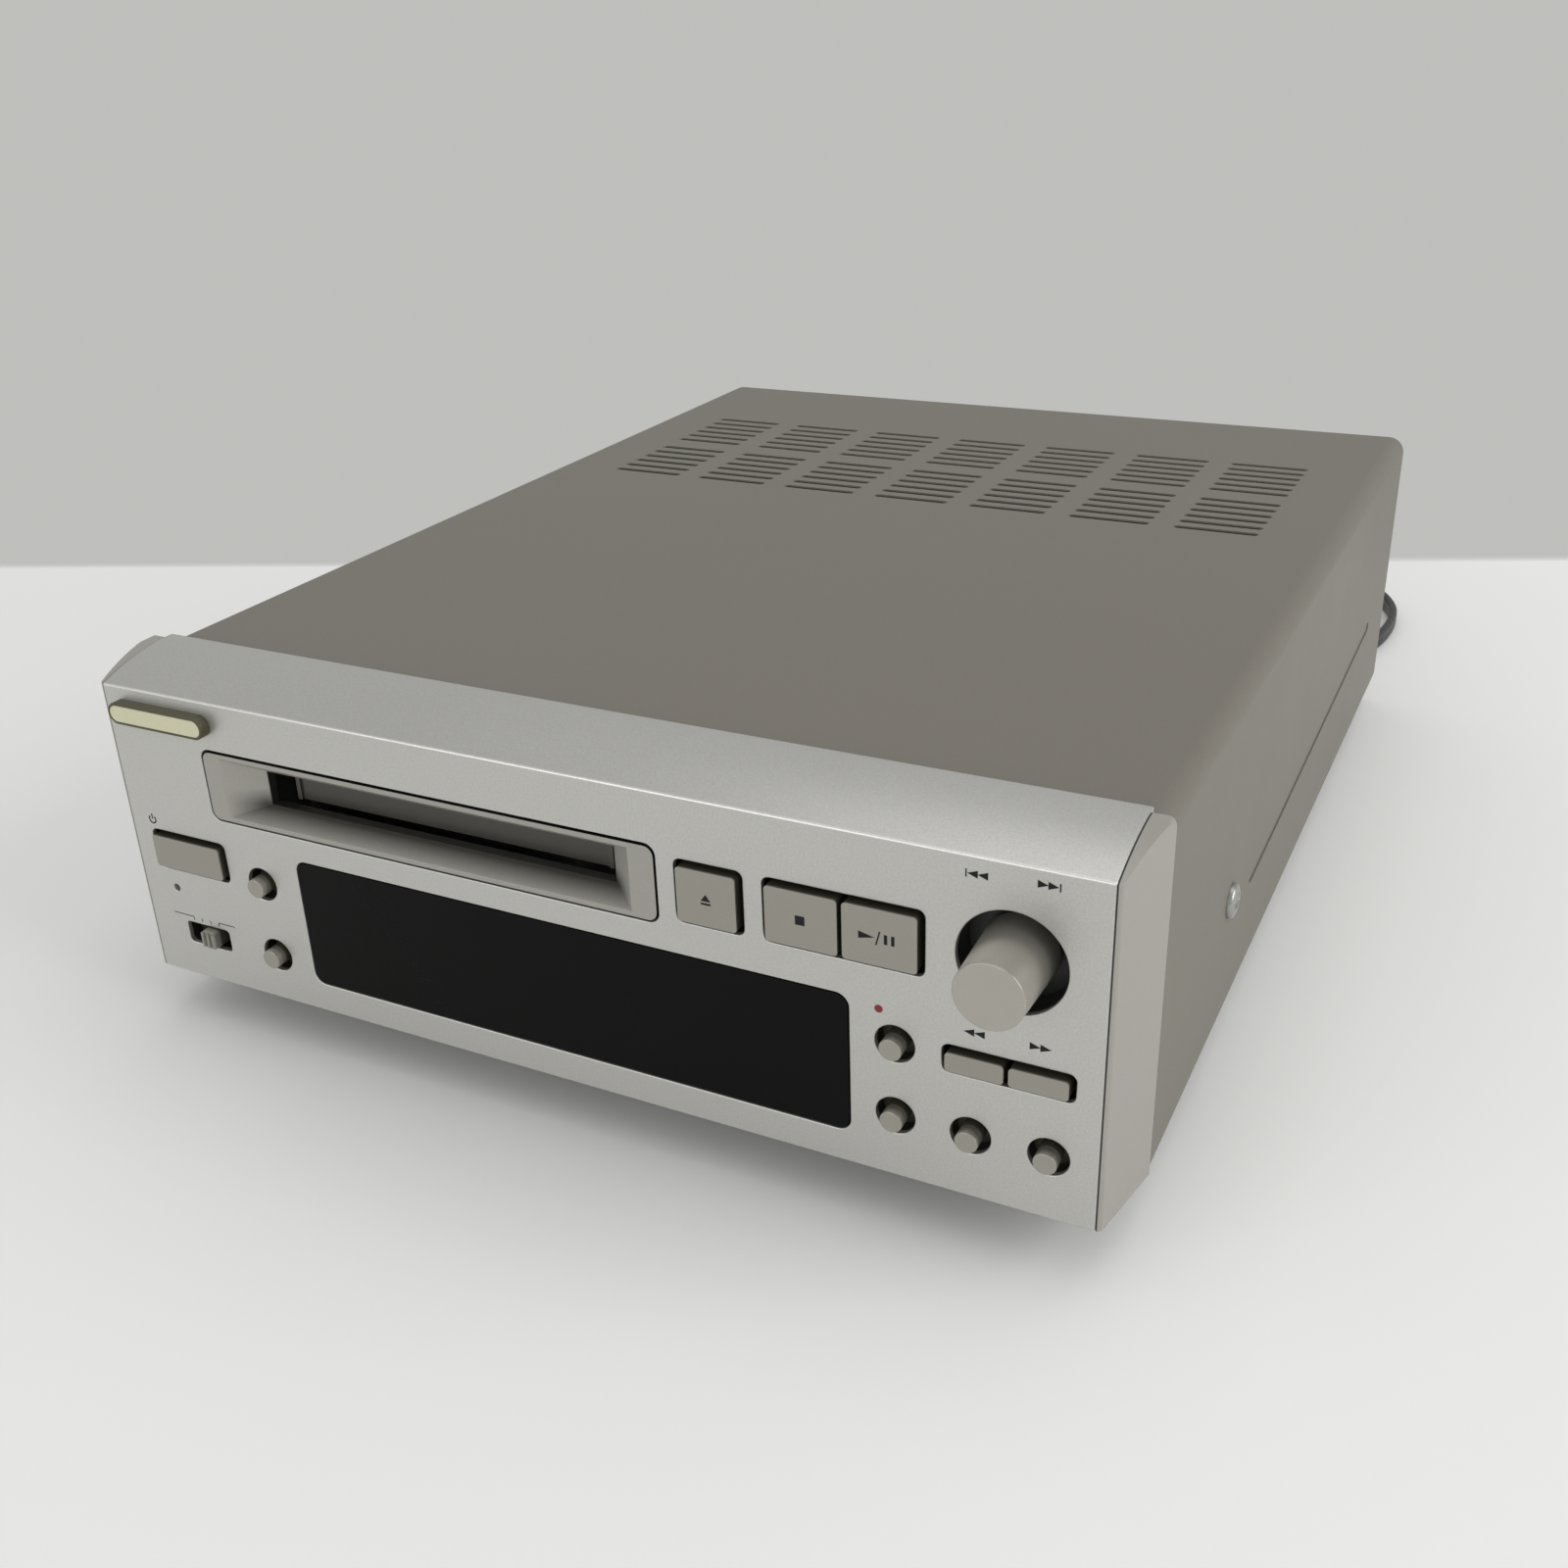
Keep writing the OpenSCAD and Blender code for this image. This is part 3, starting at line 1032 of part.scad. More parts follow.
top_cover();
chassis_pan();
rear_panel();
front_frame();
front_panel();
display_window();
slot_bezel();
slot_door();
power_key();
eject_key();
stop_key();
play_key();
rewind_key();
forward_key();
dubbing_key();
input_key();
record_key();
display_key();
edit_key();
confirm_key();
mode_slider();
jog_knob();
encoder_shaft();
encoder_plunger();
encoder_body();
standby_lamp();
display_tube();
control_board();
switches();
mech_frame();
mech_posts();
disc_holder();
left_cam_plate();
right_cam_plate();
loading_gear();
loading_worm();
loading_motor();
spindle_motor();
turntable();
guide_rods();
pickup_sled();
pickup_lens();
sled_screw();
sled_motor();
head_arm();
main_board();
board_parts();
heat_sink();
transformer();
phono_sockets();
signal_sockets();
feet();
foot_pads();
screws();
strain_relief();
mains_lead();
mains_lead_coil();
lead_tie();
mains_plug();
plug_blades();
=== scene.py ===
import json
import math
import bmesh
import bpy
import numpy as np
from mathutils import Matrix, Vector
from mathutils.geometry import tessellate_polygon


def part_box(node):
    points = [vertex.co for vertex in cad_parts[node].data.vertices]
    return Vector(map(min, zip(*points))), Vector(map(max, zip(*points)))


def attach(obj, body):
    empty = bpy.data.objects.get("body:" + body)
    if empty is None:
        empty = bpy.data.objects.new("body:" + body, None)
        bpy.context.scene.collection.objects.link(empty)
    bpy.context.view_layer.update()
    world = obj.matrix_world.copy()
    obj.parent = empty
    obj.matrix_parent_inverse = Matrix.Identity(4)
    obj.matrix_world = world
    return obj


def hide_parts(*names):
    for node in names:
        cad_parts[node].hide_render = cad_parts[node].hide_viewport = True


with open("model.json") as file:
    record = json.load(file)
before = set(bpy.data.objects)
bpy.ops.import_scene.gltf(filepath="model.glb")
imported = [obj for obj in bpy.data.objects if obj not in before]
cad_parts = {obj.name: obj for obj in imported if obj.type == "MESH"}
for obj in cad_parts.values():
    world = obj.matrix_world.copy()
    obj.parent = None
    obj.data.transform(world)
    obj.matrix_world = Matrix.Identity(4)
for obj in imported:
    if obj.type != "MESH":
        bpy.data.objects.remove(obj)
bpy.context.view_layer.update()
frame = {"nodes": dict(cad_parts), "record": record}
bodyOfNode = {node: body for body, nodes in frame["record"]["behaviour"]["bodies"].items() for node in nodes}
slotOfNode = {part["node"]: part["material_slot"] for part in frame["record"]["subparts"]}

millimetre = 0.001
# the lower edge of the panel's front face, in millimetres of the shared frame
panelPlace = np.array([0.0, -129.25, 10.5])


def shared(points):
    # millimetres counted from the panel's lower edge, as metres of the shared frame
    return (np.asarray(points, float) + panelPlace) * millimetre


def addObject(name, data):
    item = bpy.data.objects.new(name, data)
    bpy.context.scene.collection.objects.link(item)
    return item


def facing(right, up, back, place):
    # a world matrix from the three directions of a camera or a lamp and its place
    rows = [[right[i], up[i], back[i], place[i]] for i in range(3)]
    return Matrix(rows + [[0, 0, 0, 1]])


# solved from the edges of the case in the photograph; angles in degrees, place in metres
photoView = {"focalPixels": 1678.79, "framePixels": 1600, "sensor": 36, "azimuth": 27.34, "elevation": 25.78,
    "roll": -2.02, "place": (0.14983, -0.32925, 0.18765), "clip": (0.01, 600)}


def placeCamera():
    data = bpy.data.cameras.new("camera")
    data.sensor_width = photoView["sensor"]
    data.lens = photoView["focalPixels"] / photoView["framePixels"] * photoView["sensor"]
    data.clip_start, data.clip_end = photoView["clip"]
    az, el, roll = (math.radians(photoView[key]) for key in ("azimuth", "elevation", "roll"))
    back = np.array([math.sin(az) * math.cos(el), -math.cos(az) * math.cos(el), math.sin(el)])
    right = np.cross(-back, [0, 0, 1])
    right /= np.linalg.norm(right)
    up = np.cross(right, -back)
    turnedRight = math.cos(roll) * right + math.sin(roll) * up
    turnedUp = -math.sin(roll) * right + math.cos(roll) * up
    camera = addObject("camera", data)
    camera.matrix_world = facing(turnedRight, turnedUp, back, photoView["place"])
    bpy.context.scene.camera = camera


placeCamera()
print("camera placed")

# merge distance in metres, angles in degrees
meshCare = {"merge": 1e-6, "sharpAngle": 32, "flatAngle": 0.5}


def meshPiece(name, points, faces, smooth=True, metres=False):
    # points in millimetres from the panel's lower edge unless metres is set; normals end up pointing outwards
    mesh = bpy.data.meshes.new(name)
    place = np.asarray(points, float) if metres else shared(points)
    mesh.from_pydata(place.tolist(), [], [list(map(int, face)) for face in faces])
    work = bmesh.new()
    work.from_mesh(mesh)
    bmesh.ops.remove_doubles(work, verts=work.verts, dist=meshCare["merge"])
    bmesh.ops.recalc_face_normals(work, faces=work.faces)
    work.to_mesh(mesh)
    work.free()
    if smooth:
        mesh.shade_smooth()
        mesh.set_sharp_from_angle(angle=math.radians(meshCare["sharpAngle"]))
    return addObject(name, mesh)


def gridQuads(rows, cols, closed=False):
    # the cells of a grid of points stored row by row; closed joins the last column to the first
    r = np.arange(rows - 1)[:, None]
    c = np.arange(cols if closed else cols - 1)[None, :]
    n = (c + 1) % cols
    return np.stack([r * cols + c, r * cols + n, (r + 1) * cols + n, (r + 1) * cols + c], -1).reshape(-1, 4)


def tubeFaces(rings, count):
    # a tube of rings with count points each, both its ends filled
    ends = [list(range(count)), list(range(rings * count - 1, (rings - 1) * count - 1, -1))]
    return gridQuads(rings, count, closed=True).tolist() + ends


def turnedForm(profile, place, count=48):
    # each profile point (radius, depth) is carried round the y axis: place + radius (cos, sin) + depth along y
    profile = np.asarray(profile, float)
    turn = np.linspace(0, 2 * np.pi, count, endpoint=False)
    radius, depth = profile[:, :1], np.repeat(profile[:, 1:], count, 1)
    points = np.stack([radius * np.cos(turn), depth, radius * np.sin(turn)], -1)
    return points.reshape(-1, 3) + np.asarray(place, float), gridQuads(len(profile), count, closed=True)


def joined(parts):
    # several (points, faces) put together as one
    points, faces, start = [], [], 0
    for partPoints, partFaces in parts:
        points.append(np.asarray(partPoints, float))
        faces += [[int(i) + start for i in face] for face in partFaces]
        start += len(partPoints)
    return np.concatenate(points), faces


def prism(outline, low, high):
    # an outline of x and z carried along y from low to high and closed at both ends
    outline = np.asarray(outline, float)
    points = [np.insert(outline, 1, depth, axis=1) for depth in (low, high)]
    return np.concatenate(points), tubeFaces(2, len(outline))


def roundedOutline(middle, width, height, radius, steps=6):
    # a rectangle whose corners are quarter circles
    turn = np.concatenate([np.linspace(q, q + 90, steps + 1) for q in (0, 90, 180, 270)])
    side = np.repeat([[1, 1], [-1, 1], [-1, -1], [1, -1]], steps + 1, 0)
    corner = side * (np.array([width, height]) / 2 - radius)
    around = np.stack([np.cos(np.radians(turn)), np.sin(np.radians(turn))], -1)
    return corner + radius * around + np.asarray(middle, float)


def effectGroup(name, inputs, outputs):
    group = bpy.data.node_groups.new(name, "ShaderNodeTree")
    for label, kind, value in inputs:
        group.interface.new_socket(label, in_out="INPUT", socket_type=kind).default_value = value
    for label, kind in outputs:
        group.interface.new_socket(label, in_out="OUTPUT", socket_type=kind)
    return group, group.nodes.new("NodeGroupInput"), group.nodes.new("NodeGroupOutput")


def worker(nodes, operation, kind="ShaderNodeMath"):
    node = nodes.new(kind)
    node.operation = operation
    return node


def spanNode(nodes, span):
    ramp = nodes.new("ShaderNodeMapRange")
    ramp.inputs["From Min"].default_value, ramp.inputs["From Max"].default_value = span
    return ramp


def twoTones(nodes, first, second):
    mix = nodes.new("ShaderNodeMix")
    mix.data_type = "RGBA"
    mix.inputs["A"].default_value, mix.inputs["B"].default_value = (*first, 1), (*second, 1)
    return mix


def patternNoise(group, into, detail):
    # noise on Object coordinates at the group's own scale
    coord, noise = group.nodes.new("ShaderNodeTexCoord"), group.nodes.new("ShaderNodeTexNoise")
    noise.inputs["Detail"].default_value = detail
    group.links.new(coord.outputs["Object"], noise.inputs["Vector"])
    group.links.new(into.outputs["Scale"], noise.inputs["Scale"])
    return noise


def shiftedTone(group, noise, color, amount):
    # the colour times one plus the amount times the noise, whose 0 to 1 is first made -1 to 1
    nodes, link = group.nodes, group.links.new
    centred, spread = worker(nodes, "MULTIPLY_ADD"), worker(nodes, "MULTIPLY_ADD")
    tint = worker(nodes, "SCALE", "ShaderNodeVectorMath")
    centred.inputs[1].default_value, centred.inputs[2].default_value = 2, -1
    spread.inputs[2].default_value = 1
    link(noise.outputs["Fac"], centred.inputs[0])
    link(centred.outputs[0], spread.inputs[0])
    link(amount, spread.inputs[1])
    link(color, tint.inputs[0])
    link(spread.outputs[0], tint.inputs["Scale"])
    return tint.outputs[0]


grainNoise = {"detail": 2, "distance": 0.0001}
handlingNoise = {"detail": 5, "roughness": 0.6, "from": (0.3, 0.7)}


def makeGrain():
    # fine grain: one noise gives a bump and a light and dark speckle
    group, into, out = effectGroup("fineGrain", [
        ("Color", "NodeSocketColor", (0.5, 0.5, 0.5, 1)), ("Scale", "NodeSocketFloat", 3000.0),
        ("Contrast", "NodeSocketFloat", 0.1), ("Depth", "NodeSocketFloat", 0.1)],
        [("Color", "NodeSocketColor"), ("Normal", "NodeSocketVector")])
    link = group.links.new
    noise, bump = patternNoise(group, into, grainNoise["detail"]), group.nodes.new("ShaderNodeBump")
    bump.inputs["Distance"].default_value = grainNoise["distance"]
    link(into.outputs["Depth"], bump.inputs["Strength"])
    link(noise.outputs["Fac"], bump.inputs["Height"])
    link(bump.outputs[0], out.inputs["Normal"])
    link(shiftedTone(group, noise, into.outputs["Color"], into.outputs["Contrast"]), out.inputs["Color"])
    return group


def makeHandling():
    # handling and age: broad cloudy patches that change how rough and how light a surface is
    group, into, out = effectGroup("handling", [
        ("Color", "NodeSocketColor", (0.5, 0.5, 0.5, 1)), ("Scale", "NodeSocketFloat", 18.0),
        ("Tone", "NodeSocketFloat", 0.05), ("Low", "NodeSocketFloat", 0.35), ("High", "NodeSocketFloat", 0.45)],
        [("Color", "NodeSocketColor"), ("Roughness", "NodeSocketFloat")])
    link = group.links.new
    noise, ramp = patternNoise(group, into, handlingNoise["detail"]), spanNode(group.nodes, handlingNoise["from"])
    noise.inputs["Roughness"].default_value = handlingNoise["roughness"]
    link(noise.outputs["Fac"], ramp.inputs["Value"])
    link(into.outputs["Low"], ramp.inputs["To Min"])
    link(into.outputs["High"], ramp.inputs["To Max"])
    link(ramp.outputs[0], out.inputs["Roughness"])
    link(shiftedTone(group, noise, into.outputs["Color"], into.outputs["Tone"]), out.inputs["Color"])
    return group


def makePaintEndOrPaintedLightReach():
    # where a paint ends, or where shade or a highlight is painted into the colour: two ramps on the absolute Object
    # position, each along its own way, multiplied into a mask
    group, into, out = effectGroup("paintEndOrPaintedLightReach", [
        ("First Way", "NodeSocketVector", (0, 0, 0)), ("First Start", "NodeSocketFloat", -1.0),
        ("Second Way", "NodeSocketVector", (0, 0, 0)), ("Second Start", "NodeSocketFloat", -1.0),
        ("Blur", "NodeSocketFloat", 0.0003)], [("Mask", "NodeSocketFloat")])
    nodes, link = group.nodes, group.links.new
    coord, size = nodes.new("ShaderNodeTexCoord"), worker(nodes, "ABSOLUTE", "ShaderNodeVectorMath")
    both = worker(nodes, "MULTIPLY")
    link(coord.outputs["Object"], size.inputs[0])
    for i, label in enumerate(("First", "Second")):
        along = worker(nodes, "DOT_PRODUCT", "ShaderNodeVectorMath")
        past, share = worker(nodes, "SUBTRACT"), worker(nodes, "DIVIDE")
        share.use_clamp = True
        link(size.outputs[0], along.inputs[0])
        link(into.outputs[label + " Way"], along.inputs[1])
        link(along.outputs["Value"], past.inputs[0])
        link(into.outputs[label + " Start"], past.inputs[1])
        link(past.outputs[0], share.inputs[0])
        link(into.outputs["Blur"], share.inputs[1])
        link(share.outputs[0], both.inputs[i])
    link(both.outputs[0], out.inputs["Mask"])
    return group


grainGroup, handlingGroup, paintEndOrPaintedLightGroup = makeGrain(), makeHandling(), makePaintEndOrPaintedLightReach()


def placedGroup(tree, group, values):
    node = tree.nodes.new("ShaderNodeGroup")
    node.node_tree = group
    for label, value in values.items():
        node.inputs[label].default_value = value
    return node


def layPaintEndOrPaintedLight(tree, upper, color, metallic, paintEndOrPaintedLight):
    # the colour above gives way to the next layer, to the bare moulding, to painted shade or to a painted highlight,
    # where the mask says so
    reach, mix = placedGroup(tree, paintEndOrPaintedLightGroup, paintEndOrPaintedLight["reach"]), twoTones(tree.nodes, color, paintEndOrPaintedLight["color"])
    if upper:
        tree.links.new(upper, mix.inputs["A"])
    tree.links.new(reach.outputs["Mask"], mix.inputs["Factor"])
    if paintEndOrPaintedLight["metallic"] != metallic:
        level = worker(tree.nodes, "MULTIPLY_ADD")
        level.inputs[1].default_value, level.inputs[2].default_value = paintEndOrPaintedLight["metallic"] - metallic, metallic
        tree.links.new(reach.outputs["Mask"], level.inputs[0])
        tree.links.new(level.outputs[0], tree.nodes["Principled BSDF"].inputs["Metallic"])
    return mix.outputs["Result"]


def finish(name, color, metallic, rough, grain, tone, patch, paintEndsAndPaintedLight=(), **plain):
    # colour through paint ends, painted shade and painted highlights, handling and grain, roughness from handling,
    # normal from grain, the rest on the shader
    material = bpy.data.materials.new(name)
    material.use_nodes = True
    tree, link = material.node_tree, material.node_tree.links.new
    shader = tree.nodes["Principled BSDF"]
    shader.inputs["Metallic"].default_value = metallic
    for label, value in plain.items():
        shader.inputs[label.replace("_", " ")].default_value = value
    handNode = placedGroup(tree, handlingGroup, {"Color": (*color, 1), "Scale": patch, "Tone": tone,
        "Low": rough[0], "High": rough[1]})
    grainNode = placedGroup(tree, grainGroup, dict(zip(("Scale", "Contrast", "Depth"), grain)))
    upper = None
    for paintEndOrPaintedLight in paintEndsAndPaintedLight:
        upper = layPaintEndOrPaintedLight(tree, upper, color, metallic, paintEndOrPaintedLight)
        link(upper, handNode.inputs["Color"])
    link(handNode.outputs["Color"], grainNode.inputs["Color"])
    link(grainNode.outputs["Color"], shader.inputs["Base Color"])
    link(handNode.outputs["Roughness"], shader.inputs["Roughness"])
    link(grainNode.outputs["Normal"], shader.inputs["Normal"])
    return material


# what shows where a paint ends, or where shade or a highlight is painted, and where that is, in metres of the shared
# frame
paintEndsAndPaintedLight = {
    "behindPanel": {"color": (0.012, 0.012, 0.012), "metallic": 0.0,
        "reach": {"First Way": (-1, 0, 0), "First Start": -0.0988, "Blur": 0.0001}},
    # a painted highlight: a pale band half a millimetre high along the crease
    "paintedCreaseHighlight": {"color": (0.80, 0.79, 0.76), "metallic": 0.82, "reach": {"First Way": (0, 0, 1),
        "First Start": 0.07268, "Second Way": (0, 0, -1), "Second Start": -0.07318, "Blur": 0.00015}},
    # painted shade: the funnel's lower half darkens towards the throat over a few millimetres
    "paintedFunnelShade": {"color": (0.050, 0.046, 0.040), "metallic": 0.35, "reach": {"First Way": (0, -1, 0),
        "First Start": -0.12925, "Second Way": (0, 0, -1), "Second Start": -0.0558, "Blur": 0.0032}},
    # painted shade: everything deeper than the funnel, the throat, is painted dark and not metallic
    "throat": {"color": (0.024, 0.024, 0.021), "metallic": 0.0,
        "reach": {"First Way": (0, -1, 0), "First Start": -0.1256}},
    # painted shade: the cover's inner faces, its vent slots' walls and its front edge, from 0.3 mm under its top and
    # within 95 mm of the middle, are painted dark
    "paintedCoverInsideShade": {"color": (0.020, 0.020, 0.018), "metallic": 0.0, "reach": {"First Way": (0, 0, -1),
        "First Start": -0.0747, "Second Way": (-1, 0, 0), "Second Start": -0.095, "Blur": 0.0002}},
    # painted shade: the oblong keys' sides, from 0.3 mm behind their faces, are painted dark
    "paintedKeySideShade": {"color": (0.035, 0.033, 0.022), "metallic": 0.0,
        "reach": {"First Way": (0, -1, 0), "First Start": -0.12996, "Blur": 0.0001}},
    # painted shade: the parts of the round keys and of the slider that lie back in the panel's openings are painted
    # dark
    "paintedInPanelShade": {"color": (0.060, 0.056, 0.036), "metallic": 0.0,
        "reach": {"First Way": (0, -1, 0), "First Start": -0.1293, "Blur": 0.0004}}}
paintEndsAndPaintedLightOf = {"satinAluminium": ["paintedCreaseHighlight"], "sprayedFrame": ["behindPanel"],
    "sprayedSurround": ["paintedFunnelShade", "throat"], "caseCoat": ["paintedCoverInsideShade"], "champagneSatin": ["paintedKeySideShade"],
    "turnedSatin": ["paintedInPanelShade"], "sliderPaint": ["paintedInPanelShade"]}
plainOf = {"smokedPane": {"Specular_IOR_Level": 0.07}, "darkPrint": {"Specular_IOR_Level": 0.2},
    "gapShade": {"Specular_IOR_Level": 0.1}, "displayGlass": {"Coat_Weight": 0.5}, "lensGlass": {"Coat_Weight": 0.8},
    "lampTint": {"Coat_Weight": 0.5}}
# colour, metallic, lowest and highest roughness, the grain's scale, contrast and depth, the patches' tone and scale
finishValues = {
    "satinAluminium": ((0.545, 0.54, 0.515), 0.82, (0.36, 0.44), (2600, 0.16, 0.22), 0.03, 14),
    "sprayedFrame": ((0.375, 0.36, 0.325), 0.35, (0.38, 0.48), (3200, 0.08, 0.12), 0.04, 22),
    "sprayedSurround": ((0.35, 0.338, 0.305), 0.35, (0.36, 0.46), (3200, 0.08, 0.12), 0.04, 22),
    "silverPaint": ((0.46, 0.435, 0.39), 0.3, (0.38, 0.48), (3200, 0.08, 0.12), 0.04, 22),
    "rearCoat": ((0.140, 0.131, 0.112), 0.15, (0.50, 0.60), (2200, 0.10, 0.30), 0.05, 12),
    "caseCoat": ((0.190, 0.176, 0.148), 0.15, (0.50, 0.60), (2200, 0.10, 0.30), 0.05, 12),
    "champagneSatin": ((0.335, 0.32, 0.280), 0.80, (0.34, 0.42), (3600, 0.08, 0.10), 0.03, 60),
    "turnedSatin": ((0.36, 0.345, 0.30), 0.80, (0.30, 0.38), (3600, 0.08, 0.10), 0.03, 60),
    "sliderPaint": ((0.33, 0.317, 0.275), 0.6, (0.38, 0.46), (3600, 0.08, 0.10), 0.03, 60),
    "knobSatin": ((0.41, 0.39, 0.345), 0.6, (0.28, 0.35), (3600, 0.06, 0.08), 0.03, 60),
    "flapPaint": ((0.070, 0.067, 0.060), 0.3, (0.34, 0.42), (3000, 0.05, 0.08), 0.05, 40),
    "smokedPane": ((0.0040, 0.0044, 0.0040), 0.0, (0.045, 0.09), (900, 0.05, 0.004), 0.1, 30),
    "zincSteel": ((0.58, 0.59, 0.58), 0.9, (0.32, 0.5), (1500, 0.10, 0.08), 0.10, 35),
    "brightSteel": ((0.66, 0.66, 0.65), 1.0, (0.16, 0.26), (2500, 0.05, 0.04), 0.05, 40),
    "screwZinc": ((0.40, 0.40, 0.385), 1.0, (0.26, 0.36), (2500, 0.05, 0.04), 0.05, 40),
    "giltPlate": ((0.66, 0.64, 0.45), 0.55, (0.30, 0.40), (3200, 0.05, 0.06), 0.04, 60),
    "oliveBronze": ((0.085, 0.080, 0.045), 0.3, (0.38, 0.48), (2600, 0.10, 0.1), 0.08, 50),
    "darkPrint": ((0.010, 0.010, 0.010), 0.0, (0.5, 0.6), (4000, 0.10, 0.02), 0.05, 90),
    "redPrint": ((0.20, 0.012, 0.012), 0.0, (0.4, 0.5), (4000, 0.10, 0.02), 0.05, 90),
    "blackMoulding": ((0.022, 0.022, 0.022), 0.0, (0.38, 0.52), (1800, 0.15, 0.18), 0.10, 40),
    "footRubber": ((0.030, 0.029, 0.028), 0.0, (0.62, 0.75), (1400, 0.20, 0.25), 0.12, 60),
    "leadSheath": ((0.017, 0.017, 0.018), 0.0, (0.34, 0.46), (1100, 0.15, 0.10), 0.10, 70),
    "greenBoard": ((0.035, 0.13, 0.055), 0.0, (0.30, 0.42), (500, 0.25, 0.06), 0.12, 60),
    "whiteMoulding": ((0.74, 0.72, 0.65), 0.0, (0.38, 0.48), (2000, 0.04, 0.08), 0.05, 40),
    "coreSteel": ((0.16, 0.15, 0.14), 0.6, (0.45, 0.6), (900, 0.2, 0.2), 0.15, 60),
    "brassPost": ((0.60, 0.46, 0.20), 1.0, (0.22, 0.34), (1800, 0.06, 0.05), 0.07, 60),
    "displayGlass": ((0.06, 0.085, 0.08), 0.0, (0.08, 0.14), (900, 0.1, 0.01), 0.08, 40),
    "lensGlass": ((0.25, 0.35, 0.45), 0.0, (0.04, 0.08), (2000, 0.03, 0.01), 0.04, 90),
    "lampTint": ((0.020, 0.006, 0.006), 0.0, (0.12, 0.2), (2500, 0.06, 0.02), 0.05, 90),
    "gapShade": ((0.010, 0.010, 0.009), 0.0, (0.6, 0.7), (1800, 0.1, 0.05), 0.05, 40),
    "redInsert": ((0.42, 0.03, 0.025), 0.0, (0.32, 0.42), (2000, 0.05, 0.06), 0.05, 40)}
finishes = {name: finish(name, *values, paintEndsAndPaintedLight=[paintEndsAndPaintedLight[paintEndOrPaintedLight] for paintEndOrPaintedLight in paintEndsAndPaintedLightOf.get(name, [])],
    **plainOf.get(name, {})) for name, values in finishValues.items()}
finishOfSlot = {"aluminium_skin": "satinAluminium", "case_paint": "caseCoat", "zinc_steel": "zincSteel",
    "silver_plastic": "silverPaint", "key_plastic": "champagneSatin", "smoked_window": "smokedPane",
    "black_plastic": "blackMoulding", "red_lamp": "lampTint", "tube_glass": "displayGlass",
    "green_board": "greenBoard", "white_plastic": "whiteMoulding", "bright_steel": "brightSteel",
    "core_steel": "coreSteel", "rubber": "footRubber", "lead_sheath": "leadSheath", "brass": "brassPost",
    "lens": "lensGlass"}
for node, piece in frame["nodes"].items():
    piece.data.materials.clear()
    piece.data.materials.append(finishes[finishOfSlot[slotOfNode[node]]])
print("finishes ready")


def dress(piece, body, look, replaces=()):
    piece.data.materials.append(finishes[look])
    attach(piece, body)
    if replaces:
        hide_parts(*replaces)
    return piece


def softened(node, name, look, width, segments=2, angle=30, whole=True, nudge=None):
    # a merged copy of a CAD node, its flat faces made whole and its edges rounded to the width in millimetres
    work = bmesh.new()
    work.from_mesh(frame["nodes"][node].data)
    bmesh.ops.remove_doubles(work, verts=work.verts, dist=meshCare["merge"])
    if whole:
        flat = math.radians(meshCare["flatAngle"])
        bmesh.ops.dissolve_limit(work, angle_limit=flat, verts=work.verts, edges=work.edges)
    if nudge:
        # points whose x is between low and high move along x by step, all three in millimetres
        low, high, step = (value * millimetre for value in nudge)
        moved = [point for point in work.verts if low < point.co.x < high]
        bmesh.ops.translate(work, vec=(step, 0, 0), verts=moved)
    mesh = bpy.data.meshes.new(name)
    work.to_mesh(mesh)
    work.free()
    mesh.shade_smooth()
    piece = addObject(name, mesh)
    bevel = piece.modifiers.new("roundedEdges", "BEVEL")
    bevel.width, bevel.segments = width * millimetre, segments
    bevel.limit_method, bevel.angle_limit = "ANGLE", math.radians(angle)
    bevel.miter_outer = "MITER_ARC"
    piece.modifiers.new("steadyNormals", "WEIGHTED_NORMAL").keep_sharp = True
    return dress(piece, bodyOfNode[node], look, (node,))


# the flat twin lead: its route and coil repeat the solids' own, in millimetres of the shared frame
lead = {"width": 5.2, "thick": 2.7, "route": [[60, 154.6, 27.5], [60, 158, 27.5], [60, 162, 27.5], [59, 170, 25],
    [55, 184, 17.5], [49, 198, 9], [45, 210, 4], [46, 222, 2.4], [54, 231, 2.4], [66, 233, 2.4], [79, 227, 2.4],
    [90, 215, 2.4], [97, 200, 2.4], [98, 184, 2.4], [95, 168, 2.4], [87, 154, 2.4], [74, 145.5, 2.4],
    [58, 142.8, 2.4], [34, 142.8, 2.4], [14, 142.8, 2.6], [3, 142.8, 3], [-8, 142.8, 3.05]], "routeSteps": 5,
    "leadIn": (12, 5.5), "turns": 8, "turnSteps": 40, "coilX": -20, "coilFront": 142.8, "coilRadius": 22,
    "coilStep": 3.3, "coilEase": 0.003, "lift": 0.8, "lean": 60, "layer": 5.8, "tail": (6, 15, 24),
    "sectionSteps": 18, "waist": 0.32, "waistReach": 0.30, "coreRound": 0.75}


def smoothRoute(points, steps):
    # a curve through the points, with the cubic weights that take each tangent from its two neighbours
    p = np.asarray(points, float)
    a, b, c, d = np.concatenate([p[:1], p[:-2]]), p[:-1], p[1:], np.concatenate([p[2:], p[-1:]])
    t = (np.arange(steps) / steps)[None, :, None]
    a, b, c, d = (v[:, None, :] for v in (a, b, c, d))
    curve = 0.5 * (2 * b + (c - a) * t + (2 * a - 5 * b + 4 * c - d) * t ** 2 + (3 * b - a - 3 * c + d) * t ** 3)
    return np.concatenate([curve.reshape(-1, 3), p[-1:]])


